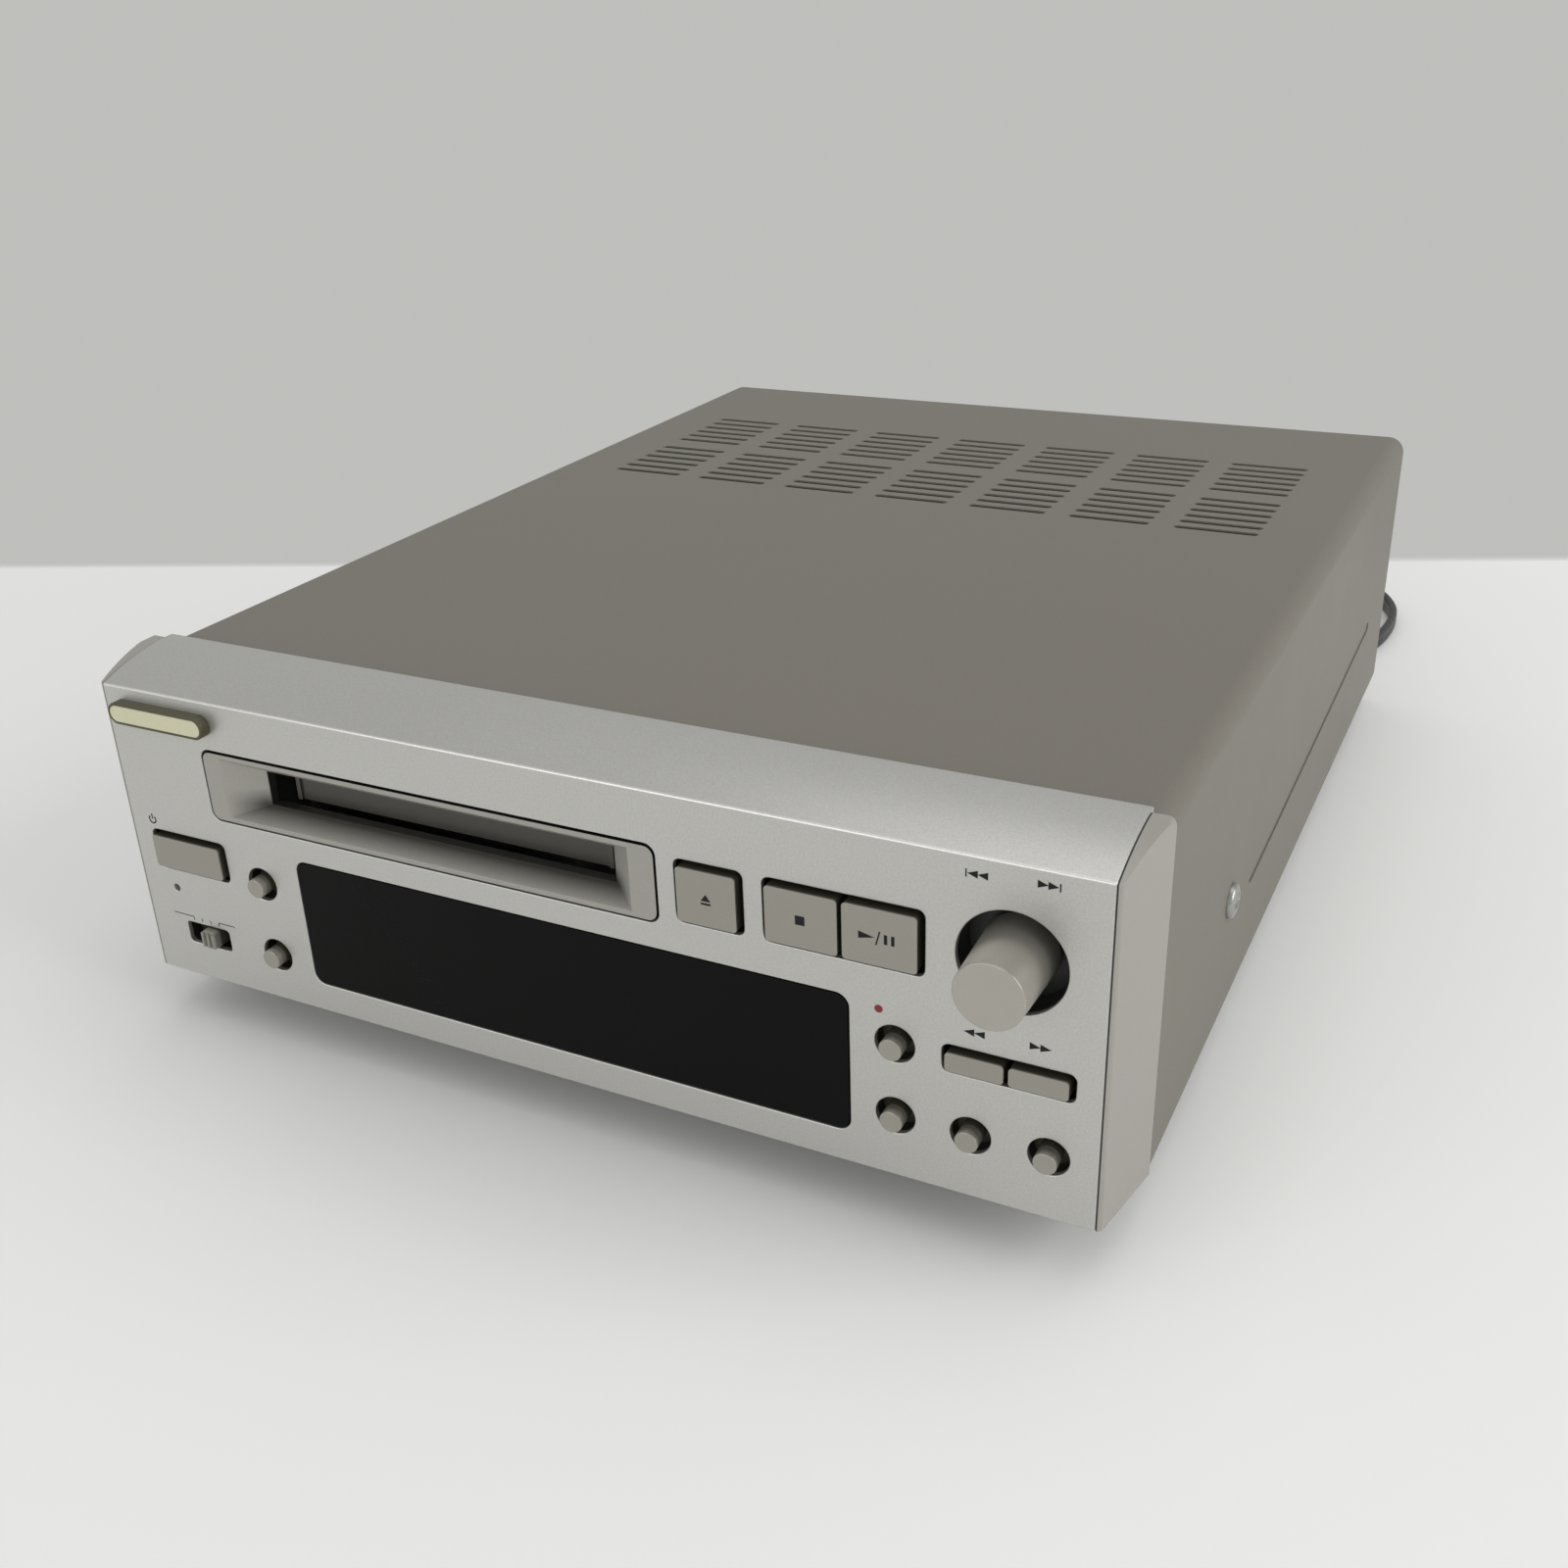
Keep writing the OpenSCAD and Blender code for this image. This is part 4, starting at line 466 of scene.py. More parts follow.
def coilLine(t):
    # a spiral in below and out again above: radius grows with the turns from the middle one, which climbs a layer
    u = t - lead["turns"] / 2
    r = lead["coilRadius"] + lead["coilStep"] * np.sqrt(u * u + lead["coilEase"])
    turn = np.radians(-90 - 360 * t)
    k = np.clip(2 * u + 0.5, 0, 1)
    middle = lead["coilFront"] + lead["coilRadius"] + lead["coilStep"] * lead["turns"] / 2
    low = lead["lift"] + lead["width"] / 2 * math.sin(math.radians(lead["lean"]))
    return np.stack([lead["coilX"] + r * np.cos(turn), middle + r * np.sin(turn),
        low + lead["layer"] * k * k * (3 - 2 * k)], -1)


def twinSection():
    # two round cores side by side, joined by a waist: half the thickness along side, half the width along up
    turn = np.linspace(0, 2 * np.pi, lead["sectionSteps"], endpoint=False)
    up, side = np.sin(turn), np.cos(turn)
    waist = 1 - lead["waist"] * np.exp(-(up / lead["waistReach"]) ** 2)
    core = np.abs(side) ** lead["coreRound"] * np.sign(side) * waist
    return lead["thick"] / 2 * core, lead["width"] / 2 * up


def leadPath():
    coil = coilLine(np.linspace(0, lead["turns"], lead["turns"] * lead["turnSteps"] + 1))
    leadIn = coil[:1] + [[x, 0, 0] for x in lead["leadIn"]]
    tail = coil[-1] - np.array([[x, 0, 0] for x in lead["tail"]])
    return np.concatenate([smoothRoute(lead["route"], lead["routeSteps"])[:-1], leadIn, coil, tail])


def sweepLead():
    # the twin section carried along the route and the coil, its wide side kept upright
    path = leadPath()
    ahead = np.concatenate([path[1:], path[-1:]]) - np.concatenate([path[:1], path[:-1]])
    ahead /= np.linalg.norm(ahead, axis=1)[:, None]
    side = np.cross(ahead, [0, 0, 1])
    side /= np.linalg.norm(side, axis=1)[:, None]
    up = np.cross(side, ahead)
    s, u = twinSection()
    rings = path[:, None, :] + side[:, None, :] * s[None, :, None] + up[:, None, :] * u[None, :, None]
    points = rings.reshape(-1, 3) * millimetre
    return meshPiece("mainsLead", points, tubeFaces(len(path), len(s)), metres=True), path * millimetre


mainsLead, leadLine = sweepLead()
dress(mainsLead, "chassis", "leadSheath", ("mains_lead", "mains_lead_coil"))
softened("strain_relief", "strainRelief", "blackMoulding", 0.25)
tie = softened("lead_tie", "leadTie", "blackMoulding", 0.25)
plug = softened("mains_plug", "mainsPlug", "leadSheath", 0.9, 3)
blades = softened("plug_blades", "plugBlades", "brassPost", 0.25)


# the aluminium skin, in millimetres: a flat plate with rolled edges, and the crown above its crease
skin = {"half": 98.5, "height": 62.5, "top": 66.1, "depth": 18.7, "radius": 50.37, "thick": 1.0, "edge": 0.22,
    "crease": 0.4, "edgeSteps": 5, "cornerSteps": 6, "creaseSteps": 8, "crownSteps": 26, "holeSteps": 8}
# its openings: middle, width, height and corner radius, then the round ones with their radius
oblongHoles = [((-0.4, 19.6), 114.0, 26.8, 2.4), ((-27.05, 45.36), 98.55, 14.86, 2.1),
    ((-84.55, 28.35), 18.7, 8.5, 1.3), ((31.95, 45.35), 12.6, 11.8, 1.3), ((55.65, 45.45), 27.8, 11.8, 1.3),
    ((83.4, 25.8), 21.8, 5.2, 1.3), ((-84.1, 10.15), 11.0, 4.7, 0.8)]
roundHoles = [((-66.8, 25.8), 3.45), ((-66.3, 10.15), 3.45), ((64.5, 25.9), 3.45), ((64.6, 12.0), 3.45),
    ((77.5, 12.0), 3.45), ((90.45, 12.0), 3.45), ((83.4, 45.6), 8.9), ((-90.4, 19.9), 0.76)]
roundHolePoints = {"small": 40, "large": 72, "largeFrom": 5}


def openingRing(hole, grow):
    # the outline of one opening, made larger all round by grow
    if len(hole) == 2:
        middle, radius = hole
        count = roundHolePoints["large" if radius > roundHolePoints["largeFrom"] else "small"]
        turn = np.linspace(0, 2 * np.pi, count, endpoint=False)
        return np.stack([np.cos(turn), np.sin(turn)], -1) * (radius + grow) + middle
    middle, width, height, radius = hole
    return roundedOutline(middle, width + 2 * grow, height + 2 * grow, radius + grow, skin["holeSteps"])


def rimPath(inset, top):
    # the plate's sides and lower edge, drawn in by inset, open at the top
    half, edge = skin["half"], skin["edge"]
    bend = np.radians(np.linspace(180, 270, skin["cornerSteps"]))
    corner = np.stack([np.cos(bend), np.sin(bend)], -1) * (edge - inset) + [edge - half, edge]
    left = np.concatenate([[[inset - half, top]], corner])
    return np.concatenate([left, (left * [-1, 1])[::-1]])


def rolledRings(outlineAt):
    # an edge from the face round its small radius to the back; outlineAt gives the outline at a distance from it
    edge, turn = skin["edge"], np.linspace(0, np.pi / 2, skin["edgeSteps"])
    rings = [np.insert(outlineAt(edge * (1 - math.sin(a))), 1, edge * (1 - math.cos(a)), axis=1) for a in turn]
    return rings + [np.insert(outlineAt(0), 1, skin["thick"], axis=1)]


def crownProfile():
    # up the face, round the crease, then back along the crown: radius squared less the distance to its top squared
    crease, radius = skin["crease"], skin["radius"]
    lean = math.asin(skin["depth"] / radius)
    reach = crease * math.tan((math.pi / 2 - lean) / 2)
    turn = np.linspace(math.pi, math.pi / 2 + lean, skin["creaseSteps"])
    bend = np.stack([crease + crease * np.cos(turn), skin["height"] - reach + crease * np.sin(turn)], -1)
    y = np.linspace(bend[-1, 0], skin["depth"] - skin["edge"], skin["crownSteps"])[1:]
    z = skin["top"] - radius + np.sqrt(radius ** 2 - (skin["depth"] - y) ** 2)
    path = np.concatenate([bend, np.stack([y, z], -1)])
    step = np.gradient(path, axis=0)
    step /= np.linalg.norm(step, axis=1)[:, None]
    outward = np.stack([-step[:, 1], step[:, 0]], -1)
    outward[0] = [-1, 0]
    return path, outward


def plateParts(top):
    # the rolled rim and openings, and the face and the back filled between them
    edge, half = skin["edge"], skin["half"]
    rim = rolledRings(lambda inset: rimPath(inset, top))
    parts = [(np.concatenate(rim), gridQuads(len(rim), len(rim[0])))]
    faceLoops = [np.array([[edge - half, top], [edge - half, edge], [half - edge, edge], [half - edge, top]])]
    backLoops = [rim[-1][:, [0, 2]]]
    for hole in oblongHoles + roundHoles:
        rings = rolledRings(lambda grow: openingRing(hole, grow))
        parts.append((np.concatenate(rings), gridQuads(len(rings), len(rings[0]), closed=True)))
        faceLoops.append(rings[0][:, [0, 2]])
        backLoops.append(rings[-1][:, [0, 2]])
    for loops, depth in ((faceLoops, 0.0), (backLoops, skin["thick"])):
        triangles = tessellate_polygon([[(x, z, 0) for x, z in loop] for loop in loops])
        parts.append((np.insert(np.concatenate(loops), 1, depth, axis=1), triangles))
    return parts


def crownPart(path, outward):
    # rows across the width, each with its two rounded ends: over the sheet, round its back edge and under it
    half, edge, thick = skin["half"], skin["edge"], skin["thick"]
    bend = np.linspace(0, np.pi / 2, skin["edgeSteps"])
    across = np.concatenate([edge - half - edge * np.sin(bend[::-1]), half - edge + edge * np.sin(bend)])
    sink = np.concatenate([edge * (1 - np.cos(bend[::-1])), edge * (1 - np.cos(bend))])
    over = path[:, None, :] - outward[:, None, :] * sink[None, :, None]
    last = path[-1] + np.stack([edge * np.sin(bend[1:]), -edge * (1 - np.cos(bend[1:]))], -1)
    over = np.concatenate([over, last[:, None, :] - np.array([0, 1.0]) * sink[None, :, None]])
    under = np.concatenate([path, last[-1:]]) - np.concatenate([outward, [[0, 1]]]) * thick
    under[-1] = [skin["depth"], path[-1, 1] - thick]
    ring = np.concatenate([over, np.repeat(under[::-1, None, :], len(across), axis=1)])
    rows, cols = ring.shape[:2]
    x = np.broadcast_to(across[None, :, None], (rows, cols, 1))
    faces = gridQuads(rows, cols).tolist()
    # the two ends are closed between the upper and the lower side
    upper, lower = len(over), len(under)
    i = np.arange(lower - 1)
    for column in (0, cols - 1):
        faces += (np.stack([i, i + 1, rows - 2 - i, rows - 1 - i], -1) * cols + column).tolist()
        faces.append([row * cols + column for row in range(lower - 1, upper + 1)])
    return np.concatenate([x, ring], -1).reshape(-1, 3), faces


crownLine, crownOutward = crownProfile()
skinPiece = meshPiece("frontSkin", *joined(plateParts(crownLine[0, 1]) + [crownPart(crownLine, crownOutward)]))
# only the strips of four-sided faces are smooth; the filled face and back stay flat
cornerCounts = np.empty(len(skinPiece.data.polygons), np.int32)
skinPiece.data.polygons.foreach_get("loop_total", cornerCounts)
skinPiece.data.polygons.foreach_set("use_smooth", cornerCounts == 4)
dress(skinPiece, "chassis", "satinAluminium", ("front_panel",))
softened("front_frame", "frontMoulding", "sprayedFrame", 0.35, angle=35)

# the left edge of the throat moves to its place in the photograph; side faces past gapSides, in metres from the
# middle, stand in the dark gap, and a side face's normal has less than facing along y
surroundFit = {"nudge": (-62.9, -61.9, -1.7), "middle": [-27.05, 0, 45.3], "gapSides": (0.0483, 0.0066),
    "facing": 0.5}
surround = softened("slot_bezel", "slotSurround", "sprayedSurround", 0.12, angle=25, nudge=surroundFit["nudge"])
surround.data.materials.append(finishes["gapShade"])


def shadeGap():
    faces = surround.data.polygons
    centers, normals = np.empty((len(faces), 3), np.float32), np.empty((len(faces), 3), np.float32)
    faces.foreach_get("center", centers.ravel())
    faces.foreach_get("normal", normals.ravel())
    away = np.abs(centers - shared(surroundFit["middle"]))
    wide, high = surroundFit["gapSides"]
    inGap = (np.abs(normals[:, 1]) < surroundFit["facing"]) & ((away[:, 0] > wide) | (away[:, 2] > high))
    faces.foreach_set("material_index", inGap.astype(np.int32))


shadeGap()
softened("slot_door", "slotFlap", "flapPaint", 0.15)
softened("display_window", "displayPane", "smokedPane", 0.35, 3)
print("front pieces done")

oblongKeys = {"power_key": "powerKey", "eject_key": "ejectKey", "stop_key": "stopKey", "play_key": "playKey",
    "rewind_key": "rewindKey", "forward_key": "forwardKey"}
for node, name in oblongKeys.items():
    softened(node, name, "champagneSatin", 0.14)

# dish holds (radius, depth) of the face's shallow hollow
roundKey = {"radius": 1.97, "out": 2.0, "edge": 0.16, "stem": 1.4, "stemEnd": 9.5, "flange": 4.35,
    "flangeFront": 3.45, "flangeBack": 4.65, "dish": [(0, 0.05), (1.0, 0.04), (1.6, 0.005)],
    "places": {"dubbing_key": (-66.8, 25.8), "input_key": (-66.3, 10.15), "record_key": (64.5, 25.9),
    "display_key": (64.6, 12), "edit_key": (77.5, 12), "confirm_key": (90.45, 12)}}
knob = {"place": (83.4, 0, 45.6), "radius": 5.7, "foot": 6.2, "out": 10.0, "back": 5.0, "edge": 0.22, "bevel": 0.3,
    "bore": 3.0, "boreFront": -7.0, "dish": [(0, 0.12), (2.5, 0.09), (4.4, 0.01)], "count": 96}
lipSteps = 7


def dishedFace(form):
    # the hollow of the face, then a quarter round to the side
    bend = np.radians(np.linspace(90, 0, lipSteps))
    lip = np.stack([form["radius"] - form["edge"] + form["edge"] * np.cos(bend),
        -form["out"] + form["edge"] - form["edge"] * np.sin(bend)], -1)
    return np.concatenate([[[radius, depth - form["out"]] for radius, depth in form["dish"]], lip])


def roundKeyProfile():
    radius, stem, flange = roundKey["radius"], roundKey["stem"], roundKey["flange"]
    front, back, end = roundKey["flangeFront"], roundKey["flangeBack"], roundKey["stemEnd"]
    tail = [[radius, front], [flange, front], [flange, back], [stem, back], [stem, end], [0, end]]
    return np.concatenate([dishedFace(roundKey), tail])


def knobProfile():
    foot, back, bevel, bore = knob["foot"], knob["back"], knob["bevel"], knob["bore"]
    tail = [[foot, back - bevel], [foot - bevel, back], [bore, back], [bore, knob["boreFront"]], [0, knob["boreFront"]]]
    return np.concatenate([dishedFace(knob), tail])


for node, (x, z) in roundKey["places"].items():
    piece = meshPiece(node.split("_")[0] + "Key", *turnedForm(roundKeyProfile(), (x, 0, z)))
    dress(piece, bodyOfNode[node], "turnedSatin", (node,))
knobForm = turnedForm(knobProfile(), knob["place"], knob["count"])
dress(meshPiece("jogKnob", *knobForm), "knob", "knobSatin", ("jog_knob",))

softened("mode_slider", "modeSlider", "sliderPaint", 0.15)
ridges = {"steps": (-1.35, 0.0, 1.35), "width": 0.7, "height": 3.2, "foot": 1.1, "out": 1.75, "middle": 10.15,
    "sectionSteps": 9}
gripMiddle = np.mean(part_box("mode_slider"), axis=0)[0] / millimetre


def ridgeForm(x):
    # half a round bar that stands upright on the grip: its section is an arc, its ends are closed
    n, half = ridges["sectionSteps"], ridges["height"] / 2
    turn = np.linspace(0, np.pi, n)
    across, out = ridges["width"] / 2 * np.cos(turn), -ridges["foot"] - (ridges["out"] - ridges["foot"]) * np.sin(turn)
    section = np.stack([x + across, out, np.zeros(n)], -1)
    rows = [section + [0, 0, ridges["middle"] - half], section + [0, 0, ridges["middle"] + half]]
    return np.concatenate(rows), tubeFaces(2, n)


ridgeForms = joined([ridgeForm(gripMiddle + step) for step in ridges["steps"]])
dress(meshPiece("sliderRidges", *ridgeForms), "mode_slider", "sliderPaint")
lampLens = {"place": (-90.4, 0, 19.9),
    "profile": [[0, 0.0], [0.4, 0.03], [0.66, 0.12], [0.74, 0.25], [0.74, 0.9], [0, 0.9]]}
lensForm = turnedForm(lampLens["profile"], lampLens["place"])
dress(meshPiece("standbyLens", *lensForm), "chassis", "lampTint")
print("keys and knob done")

# lip, slope and plate hold (inset, depth): the rim's rounded edge, its way down to the plate, and the plate's edge
badge = {"middle": (-84.3, 57.85), "width": 23.6, "height": 4.4, "depth": 2.2, "rim": 0.5, "sunk": 0.22,
    "lip": [(0, 0.25), (0.08, 0.08), (0.2, 0)], "slope": 0.08, "plate": [(0.02, 0.1), (0.02, -0.1), (0.1, -0.16)],
    "endFlat": 0.01, "endSteps": 10}
badgeTop = -badge["depth"]
plateTop = badgeTop + badge["sunk"]
rimSteps = [(0, 0)] + [(inset, badgeTop + depth) for inset, depth in badge["lip"]]
rimSteps += [(badge["rim"], badgeTop), (badge["rim"] + badge["slope"], plateTop)]
plateSteps = [(badge["rim"] + inset, plateTop + depth) for inset, depth in badge["plate"]]


def badgeForm(steps):
    # rings with round ends, each drawn in by its inset at its depth, closed front and back
    rings = []
    for inset, depth in steps:
        width, height = badge["width"] - 2 * inset, badge["height"] - 2 * inset
        ring = roundedOutline(badge["middle"], width, height, height / 2 - badge["endFlat"], badge["endSteps"])
        rings.append(np.insert(ring, 1, depth, axis=1))
    return np.concatenate(rings), tubeFaces(len(rings), len(rings[0]))


dress(meshPiece("badgeRim", *badgeForm(rimSteps)), "chassis", "oliveBronze")
dress(meshPiece("badgeField", *badgeForm(plateSteps)), "chassis", "giltPlate")

# the printed marks stand a hair proud of what they are on; sizes in millimetres
signs = {"thick": 0.03, "keyFace": -1.0, "arrowHigh": 1.3, "seekWide": 1.75, "skipWide": 1.65, "skipBar": (0.22, 1.4)}


def arrow(x, z, wide, way):
    # a triangle that points along x, way is 1 for right and -1 for left
    half = signs["arrowHigh"] / 2
    return [[x - way * wide / 2, z - half], [x + way * wide / 2, z], [x - way * wide / 2, z + half]]


def bar(x, z, wide, high):
    left, right, low, top = x - wide / 2, x + wide / 2, z - high / 2, z + high / 2
    return [[left, low], [right, low], [right, top], [left, top]]


def ringArc(x, z, radius, line, start, end, steps=20):
    # a band round part of a circle, from the start to the end angle in degrees
    turn = np.radians(np.linspace(start, end, steps))
    around = np.stack([np.cos(turn), np.sin(turn)], -1)
    return (np.concatenate([around * (radius + line / 2), around[::-1] * (radius - line / 2)]) + [x, z]).tolist()


def marks(name, body, outlines, front=0.0, look="darkPrint"):
    parts = [prism(outline, front - signs["thick"], front) for outline in outlines]
    return dress(meshPiece(name, *joined(parts), smooth=False), body, look)


keyMarks = {"ejectMark": ("eject_key", [[[31.05, 45.05], [32.85, 45.05], [31.95, 46.3]], bar(31.95, 44.55, 1.8, 0.35)]),
    "stopMark": ("stop_key", [bar(48.85, 45.45, 1.65, 1.65)]),
    "playMark": ("play_key", [arrow(60.25, 45.45, 2.7, 1), [[61.75, 44.2], [62.0, 44.2], [62.65, 46.7], [62.4, 46.7]],
        bar(63.5, 45.45, 0.55, 1.7), bar(64.7, 45.45, 0.55, 1.7)])}
for name, (body, outlines) in keyMarks.items():
    marks(name, body, outlines, signs["keyFace"])

# the two seek marks, the two skip marks, the standby sign, and the line and ticks over the mode slider
seekWide, skipWide, skipBar = signs["seekWide"], signs["skipWide"], signs["skipBar"]
panelOutlines = [arrow(76.95, 31.7, seekWide, -1), arrow(78.65, 31.7, seekWide, -1),
    arrow(87.6, 31.9, seekWide, 1), arrow(89.3, 31.9, seekWide, 1),
    bar(76.0, 59.5, *skipBar), arrow(77.0, 59.5, skipWide, -1), arrow(78.6, 59.5, skipWide, -1),
    arrow(87.8, 60.05, skipWide, 1), arrow(89.4, 60.05, skipWide, 1), bar(90.4, 60.05, *skipBar),
    ringArc(-93.0, 34.7, 0.82, 0.28, 130, 410), bar(-93.0, 35.35, 0.26, 1.15),
    bar(-90.0, 13.95, 5.2, 0.16), bar(-78.7, 13.95, 4.2, 0.16)]
panelOutlines += [bar(x, 13.55, 0.16, 0.8) for x in (-87.4, -85.2, -83.0, -80.8)]
marks("panelMarks", "chassis", panelOutlines)
redDot = {"middle": [61.8, 31.9], "radius": 0.72, "count": 24}
dotTurn = np.radians(np.linspace(0, 360, redDot["count"], endpoint=False))
dotOutline = np.stack([np.cos(dotTurn), np.sin(dotTurn)], -1) * redDot["radius"] + redDot["middle"]
marks("redDot", "chassis", [dotOutline], look="redPrint")
print("marks done")

softened("top_cover", "caseCover", "caseCoat", 0.22, angle=35, whole=False)
softened("rear_panel", "rearPanel", "rearCoat", 0.15)
softened("feet", "feet", "blackMoulding", 0.4)
softened("foot_pads", "footPads", "footRubber", 0.2)
# edgeShare is the height left at the edge; cross and reach are half the groove's width and length
sideHead = {"radius": 3.4, "rise": 1.6, "edgeShare": 0.35, "cross": 0.55, "crossSlope": 0.25, "reach": 2.0,
    "reachSlope": 0.5, "deep": 0.9, "rings": 22, "turnStep": 5}
rearHead = dict(sideHead, radius=2.9)
screwPlaces = {"side": (101.3, 72.4, 22.3),
    "rear": [(-88, 260, 58.5), (0, 260, 58.5), (88, 260, 58.5), (38, 260, 24.0)]}


def screwForm(head, place, axis, way):
    # a domed head: height follows the root of one less the squared share of the radius, and a cross is pressed in
    rings = np.linspace(0, 1, head["rings"])[:, None] * head["radius"]
    turn = np.radians(np.arange(0, 360, head["turnStep"]))[None, :]
    a, b = rings * np.cos(turn), rings * np.sin(turn)
    dome = np.sqrt(np.clip(1 - (rings / head["radius"]) ** 2, 0, 1))
    height = head["rise"] * (head["edgeShare"] + (1 - head["edgeShare"]) * dome) * np.ones_like(a)
    near, far = np.minimum(np.abs(a), np.abs(b)), np.maximum(np.abs(a), np.abs(b))
    groove = np.clip((head["cross"] - near) / head["crossSlope"], 0, 1)
    groove = groove * np.clip((head["reach"] - far) / head["reachSlope"], 0, 1)
    height = height - head["deep"] * groove
    # the last ring is repeated at the foot, which is filled
    a, b, height = (np.concatenate([v, v[-1:]]) for v in (a, b, height))
    height[-1] = 0
    order = {"x": (height * way, a, b), "y": (a, height * way, b)}[axis]
    points = np.stack(order, -1).reshape(-1, 3) + np.asarray(place, float)
    rows, count = height.shape
    return points, gridQuads(rows, count, closed=True).tolist() + [list(range((rows - 1) * count, rows * count))]


sideX, sideY, sideZ = screwPlaces["side"]
screwForms = [screwForm(sideHead, (way * sideX, sideY, sideZ), "x", way) for way in (-1, 1)]
screwForms += [screwForm(rearHead, place, "y", 1) for place in screwPlaces["rear"]]
dress(meshPiece("caseScrews", *joined(screwForms)), "chassis", "screwZinc", ("screws",))

softened("phono_sockets", "phonoBlock", "blackMoulding", 0.15)
softened("signal_sockets", "signalBlock", "blackMoulding", 0.15)
# radii and depths in millimetres; foot and end are the sleeve's depths, the insert lies just below its end
sockets = {"places": [(31, 17), (45, 17), (31, 31), (45, 31)], "sleeve": 4.36, "wall": 0.95, "foot": 260.1,
    "end": 268.7, "flange": 0.5, "flare": 0.7, "bevel": 0.2, "lip": 0.25, "shell": 0.12, "insertLow": 0.3,
    "insertHigh": 0.1, "pin": 1.7, "count": 40}


def sleeveProfile():
    # up the outside of the sleeve, over its lip and down just inside its wall
    outer, foot, end, flange = (sockets[key] for key in ("sleeve", "foot", "end", "flange"))
    inner, shell, bevel = outer - sockets["wall"], outer - sockets["shell"], sockets["bevel"]
    return [[outer + flange, foot], [outer + flange, foot + flange], [outer, foot + sockets["flare"]],
        [outer, end - bevel], [outer - bevel, end], [inner, end], [inner, end - sockets["lip"]],
        [shell, end - sockets["insertLow"]], [shell, foot], [outer + flange, foot]]


def insertProfile():
    # the flat coloured ring between the pin's hole and the sleeve
    pin, inner = sockets["pin"], sockets["sleeve"] - sockets["wall"]
    low, high = sockets["end"] - sockets["insertLow"], sockets["end"] - sockets["insertHigh"]
    return [[pin, low], [pin, high], [inner, high], [inner, low], [pin, low]]


def socketRings(name, profile, look, places):
    # one closed profile of (radius, depth) turned at each place
    forms = [turnedForm(profile, (x, 0, z), sockets["count"]) for x, z in places]
    dress(meshPiece(name, *joined(forms)), "chassis", look)


socketRings("phonoSleeves", sleeveProfile(), "brightSteel", sockets["places"])
socketRings("rightInserts", insertProfile(), "redInsert", sockets["places"][::2])
socketRings("leftInserts", insertProfile(), "whiteMoulding", sockets["places"][1::2])
print("case and sockets done")

# lengths in metres; the floor gives way to the backdrop along the line through edgePoint in the direction edgeWay
studio = {"floorColor": (0.92, 0.92, 0.91), "farColor": (0.52, 0.525, 0.505), "skyColor": (0.56, 0.562, 0.56),
    "skyRise": (0.05, 0.35), "rough": 0.75, "reach": 200, "fade": (0.5, 1.5), "edgePoint": (0.0, 0.226),
    "edgeWay": (0.928, 0.371), "edgeBlur": (-0.003, 0.006)}


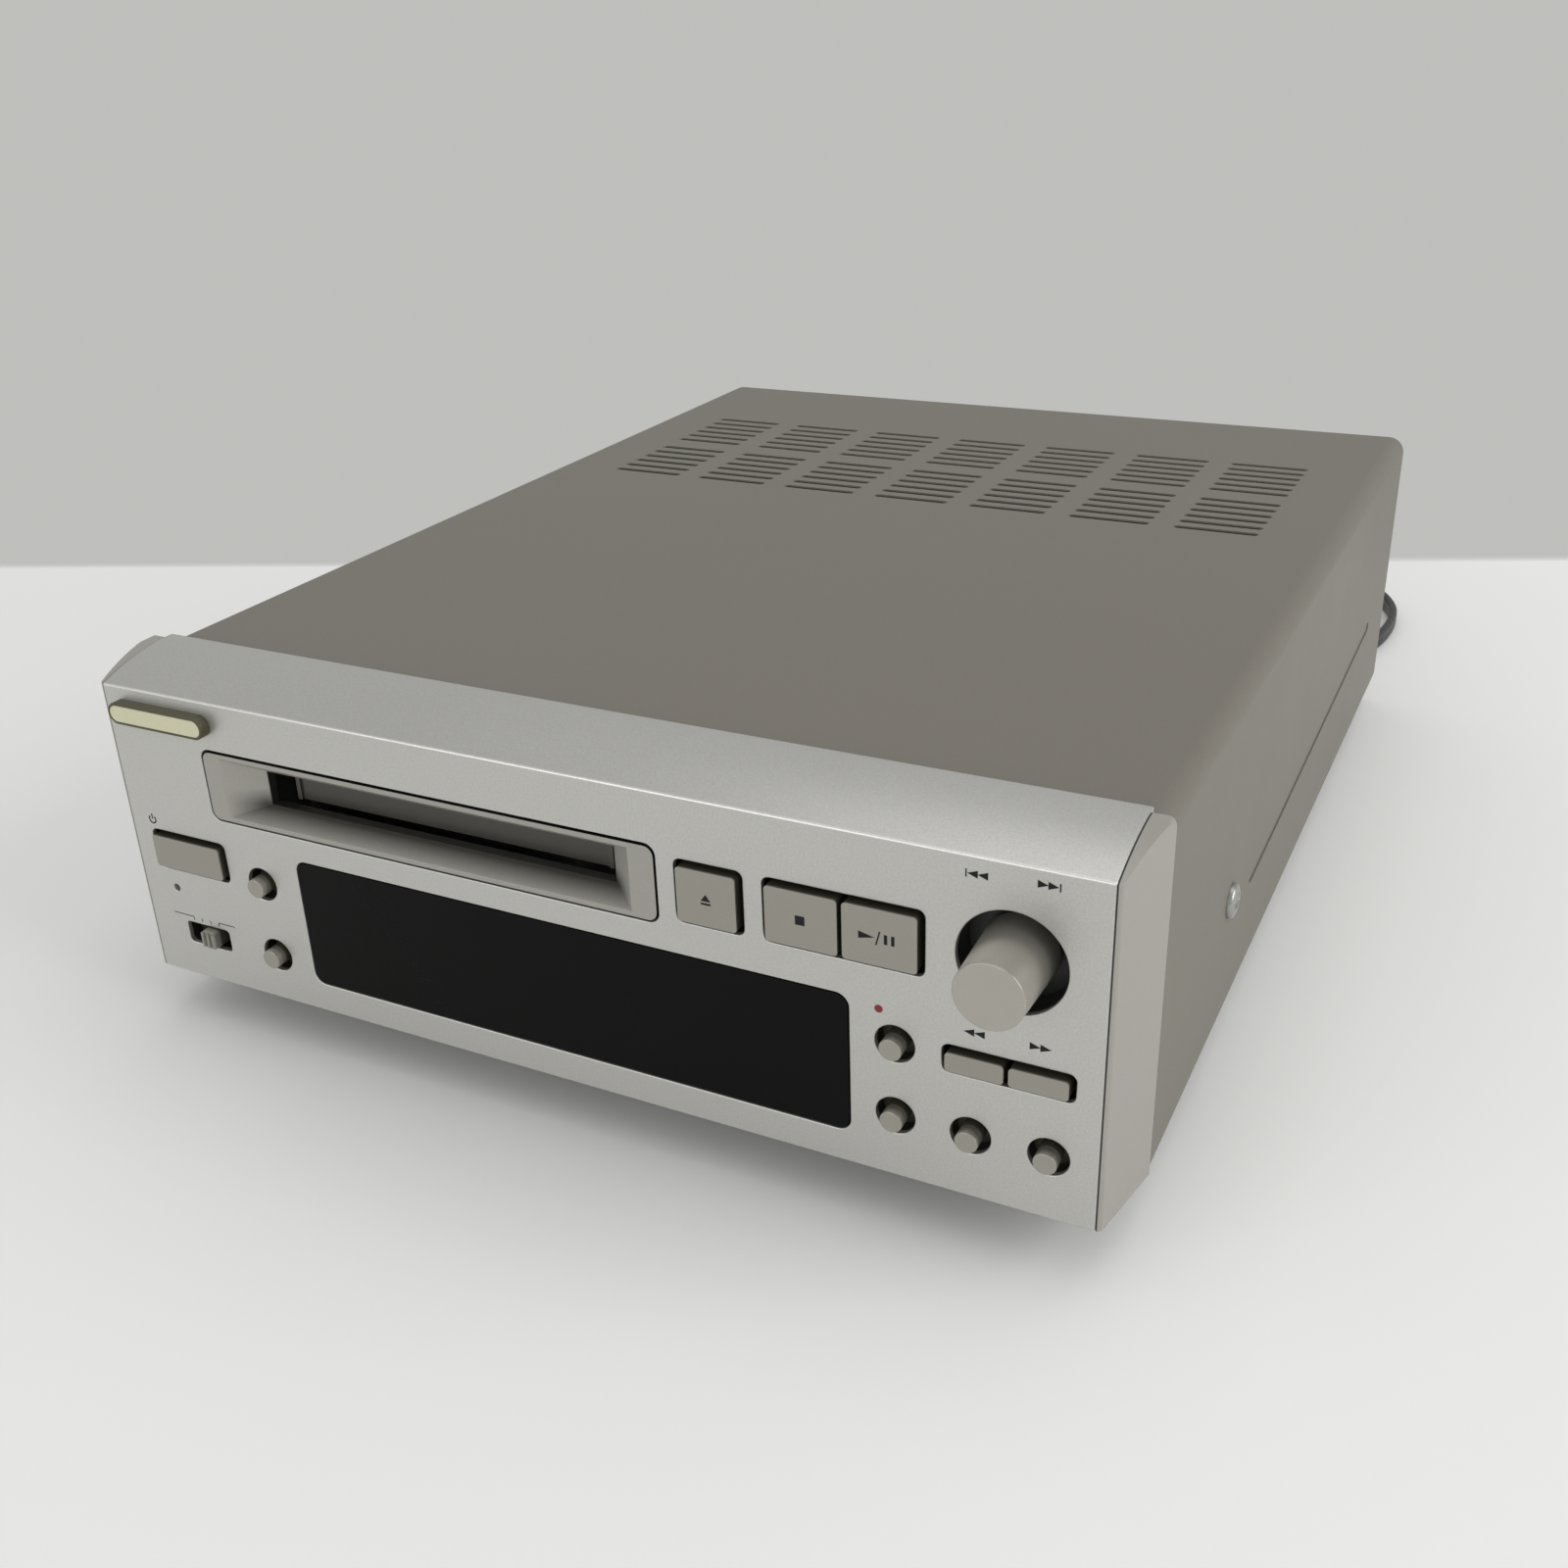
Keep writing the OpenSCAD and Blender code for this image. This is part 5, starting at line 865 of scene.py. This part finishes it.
def floorMaterial():
    material = bpy.data.materials.new("paleFloor")
    material.use_nodes = True
    nodes, link = material.node_tree.nodes, material.node_tree.links.new
    shader = nodes["Principled BSDF"]
    shader.inputs["Roughness"].default_value = studio["rough"]
    (wayX, wayY), (pointX, pointY) = studio["edgeWay"], studio["edgePoint"]
    offset = -wayY * pointX + wayX * pointY
    coord, across = nodes.new("ShaderNodeTexCoord"), worker(nodes, "DOT_PRODUCT", "ShaderNodeVectorMath")
    across.inputs[1].default_value = (-wayY, wayX, 0)
    pastEdge = spanNode(nodes, [offset + blur for blur in studio["edgeBlur"]])
    tone = twoTones(nodes, studio["floorColor"], studio["farColor"])
    link(coord.outputs["Object"], across.inputs[0])
    link(across.outputs["Value"], pastEdge.inputs["Value"])
    link(pastEdge.outputs[0], tone.inputs["Factor"])
    link(tone.outputs["Result"], shader.inputs["Base Color"])
    # past the edge, and far away on every side, the camera and reflections see the backdrop's plain tone
    length, fade = worker(nodes, "LENGTH", "ShaderNodeVectorMath"), spanNode(nodes, studio["fade"])
    either, seen, most = (worker(nodes, "MAXIMUM") for _ in range(3))
    share, light = worker(nodes, "MULTIPLY"), nodes.new("ShaderNodeLightPath")
    glow, blend = nodes.new("ShaderNodeEmission"), nodes.new("ShaderNodeMixShader")
    glow.inputs["Color"].default_value = (*studio["farColor"], 1)
    link(coord.outputs["Object"], length.inputs[0])
    link(length.outputs["Value"], fade.inputs["Value"])
    link(fade.outputs[0], either.inputs[0])
    link(pastEdge.outputs[0], either.inputs[1])
    link(light.outputs["Is Camera Ray"], seen.inputs[0])
    link(light.outputs["Is Glossy Ray"], seen.inputs[1])
    link(seen.outputs[0], most.inputs[0])
    link(light.outputs["Is Transmission Ray"], most.inputs[1])
    link(most.outputs[0], share.inputs[0])
    link(either.outputs[0], share.inputs[1])
    link(share.outputs[0], blend.inputs[0])
    link(shader.outputs[0], blend.inputs[1])
    link(glow.outputs[0], blend.inputs[2])
    link(blend.outputs[0], nodes["Material Output"].inputs["Surface"])
    return material


def layFloor():
    mesh = bpy.data.meshes.new("floor")
    reach = studio["reach"]
    corners = [(-reach, -reach, 0), (reach, -reach, 0), (reach, reach, 0), (-reach, reach, 0)]
    mesh.from_pydata(corners, [], [(0, 1, 2, 3)])
    mesh.materials.append(floorMaterial())
    addObject("floor", mesh)


# name, place, what it is aimed at, width and height in metres, and power in watts
lamps = [("overhead", (0.15, 0.2, 1.5), (0.05, 0.05, 0), (1.1, 1.0), 2.8),
    ("rightSide", (2.0, 0.2, 0.95), (0.1, 0.1, 0.03), (1.8, 1.3), 20.5),
    ("frontLeft", (-0.75, -2.2, 0.88), (0, -0.15, 0.02), (2.3, 1.15), 14)]
steepest = 0.99  # a lamp that looks down more steeply than this keeps its width along x


def addLamp(name, place, target, size, power):
    data = bpy.data.lights.new(name, "AREA")
    data.shape, data.size, data.size_y = "RECTANGLE", size[0], size[1]
    data.energy = power
    back = np.asarray(place, float) - np.asarray(target, float)
    back /= np.linalg.norm(back)
    right = np.cross([0, 0, 1], back) if abs(back[2]) < steepest else np.array([1.0, 0, 0])
    right /= np.linalg.norm(right)
    addObject(name, data).matrix_world = facing(right, np.cross(back, right), back, place)


def lightStudio():
    world = bpy.data.worlds.new("studio")
    bpy.context.scene.world = world
    world.use_nodes = True
    # the backdrop's tone at the horizon passes into a softer one above
    nodes, link = world.node_tree.nodes, world.node_tree.links.new
    coord, split = nodes.new("ShaderNodeTexCoord"), nodes.new("ShaderNodeSeparateXYZ")
    rise, tone = spanNode(nodes, studio["skyRise"]), twoTones(nodes, studio["farColor"], studio["skyColor"])
    link(coord.outputs["Generated"], split.inputs[0])
    link(split.outputs["Z"], rise.inputs["Value"])
    link(rise.outputs[0], tone.inputs["Factor"])
    link(tone.outputs["Result"], nodes["Background"].inputs["Color"])
    for lamp in lamps:
        addLamp(*lamp)


layFloor()
lightStudio()
bpy.context.scene.view_settings.view_transform = "Standard"
print("stage lit")
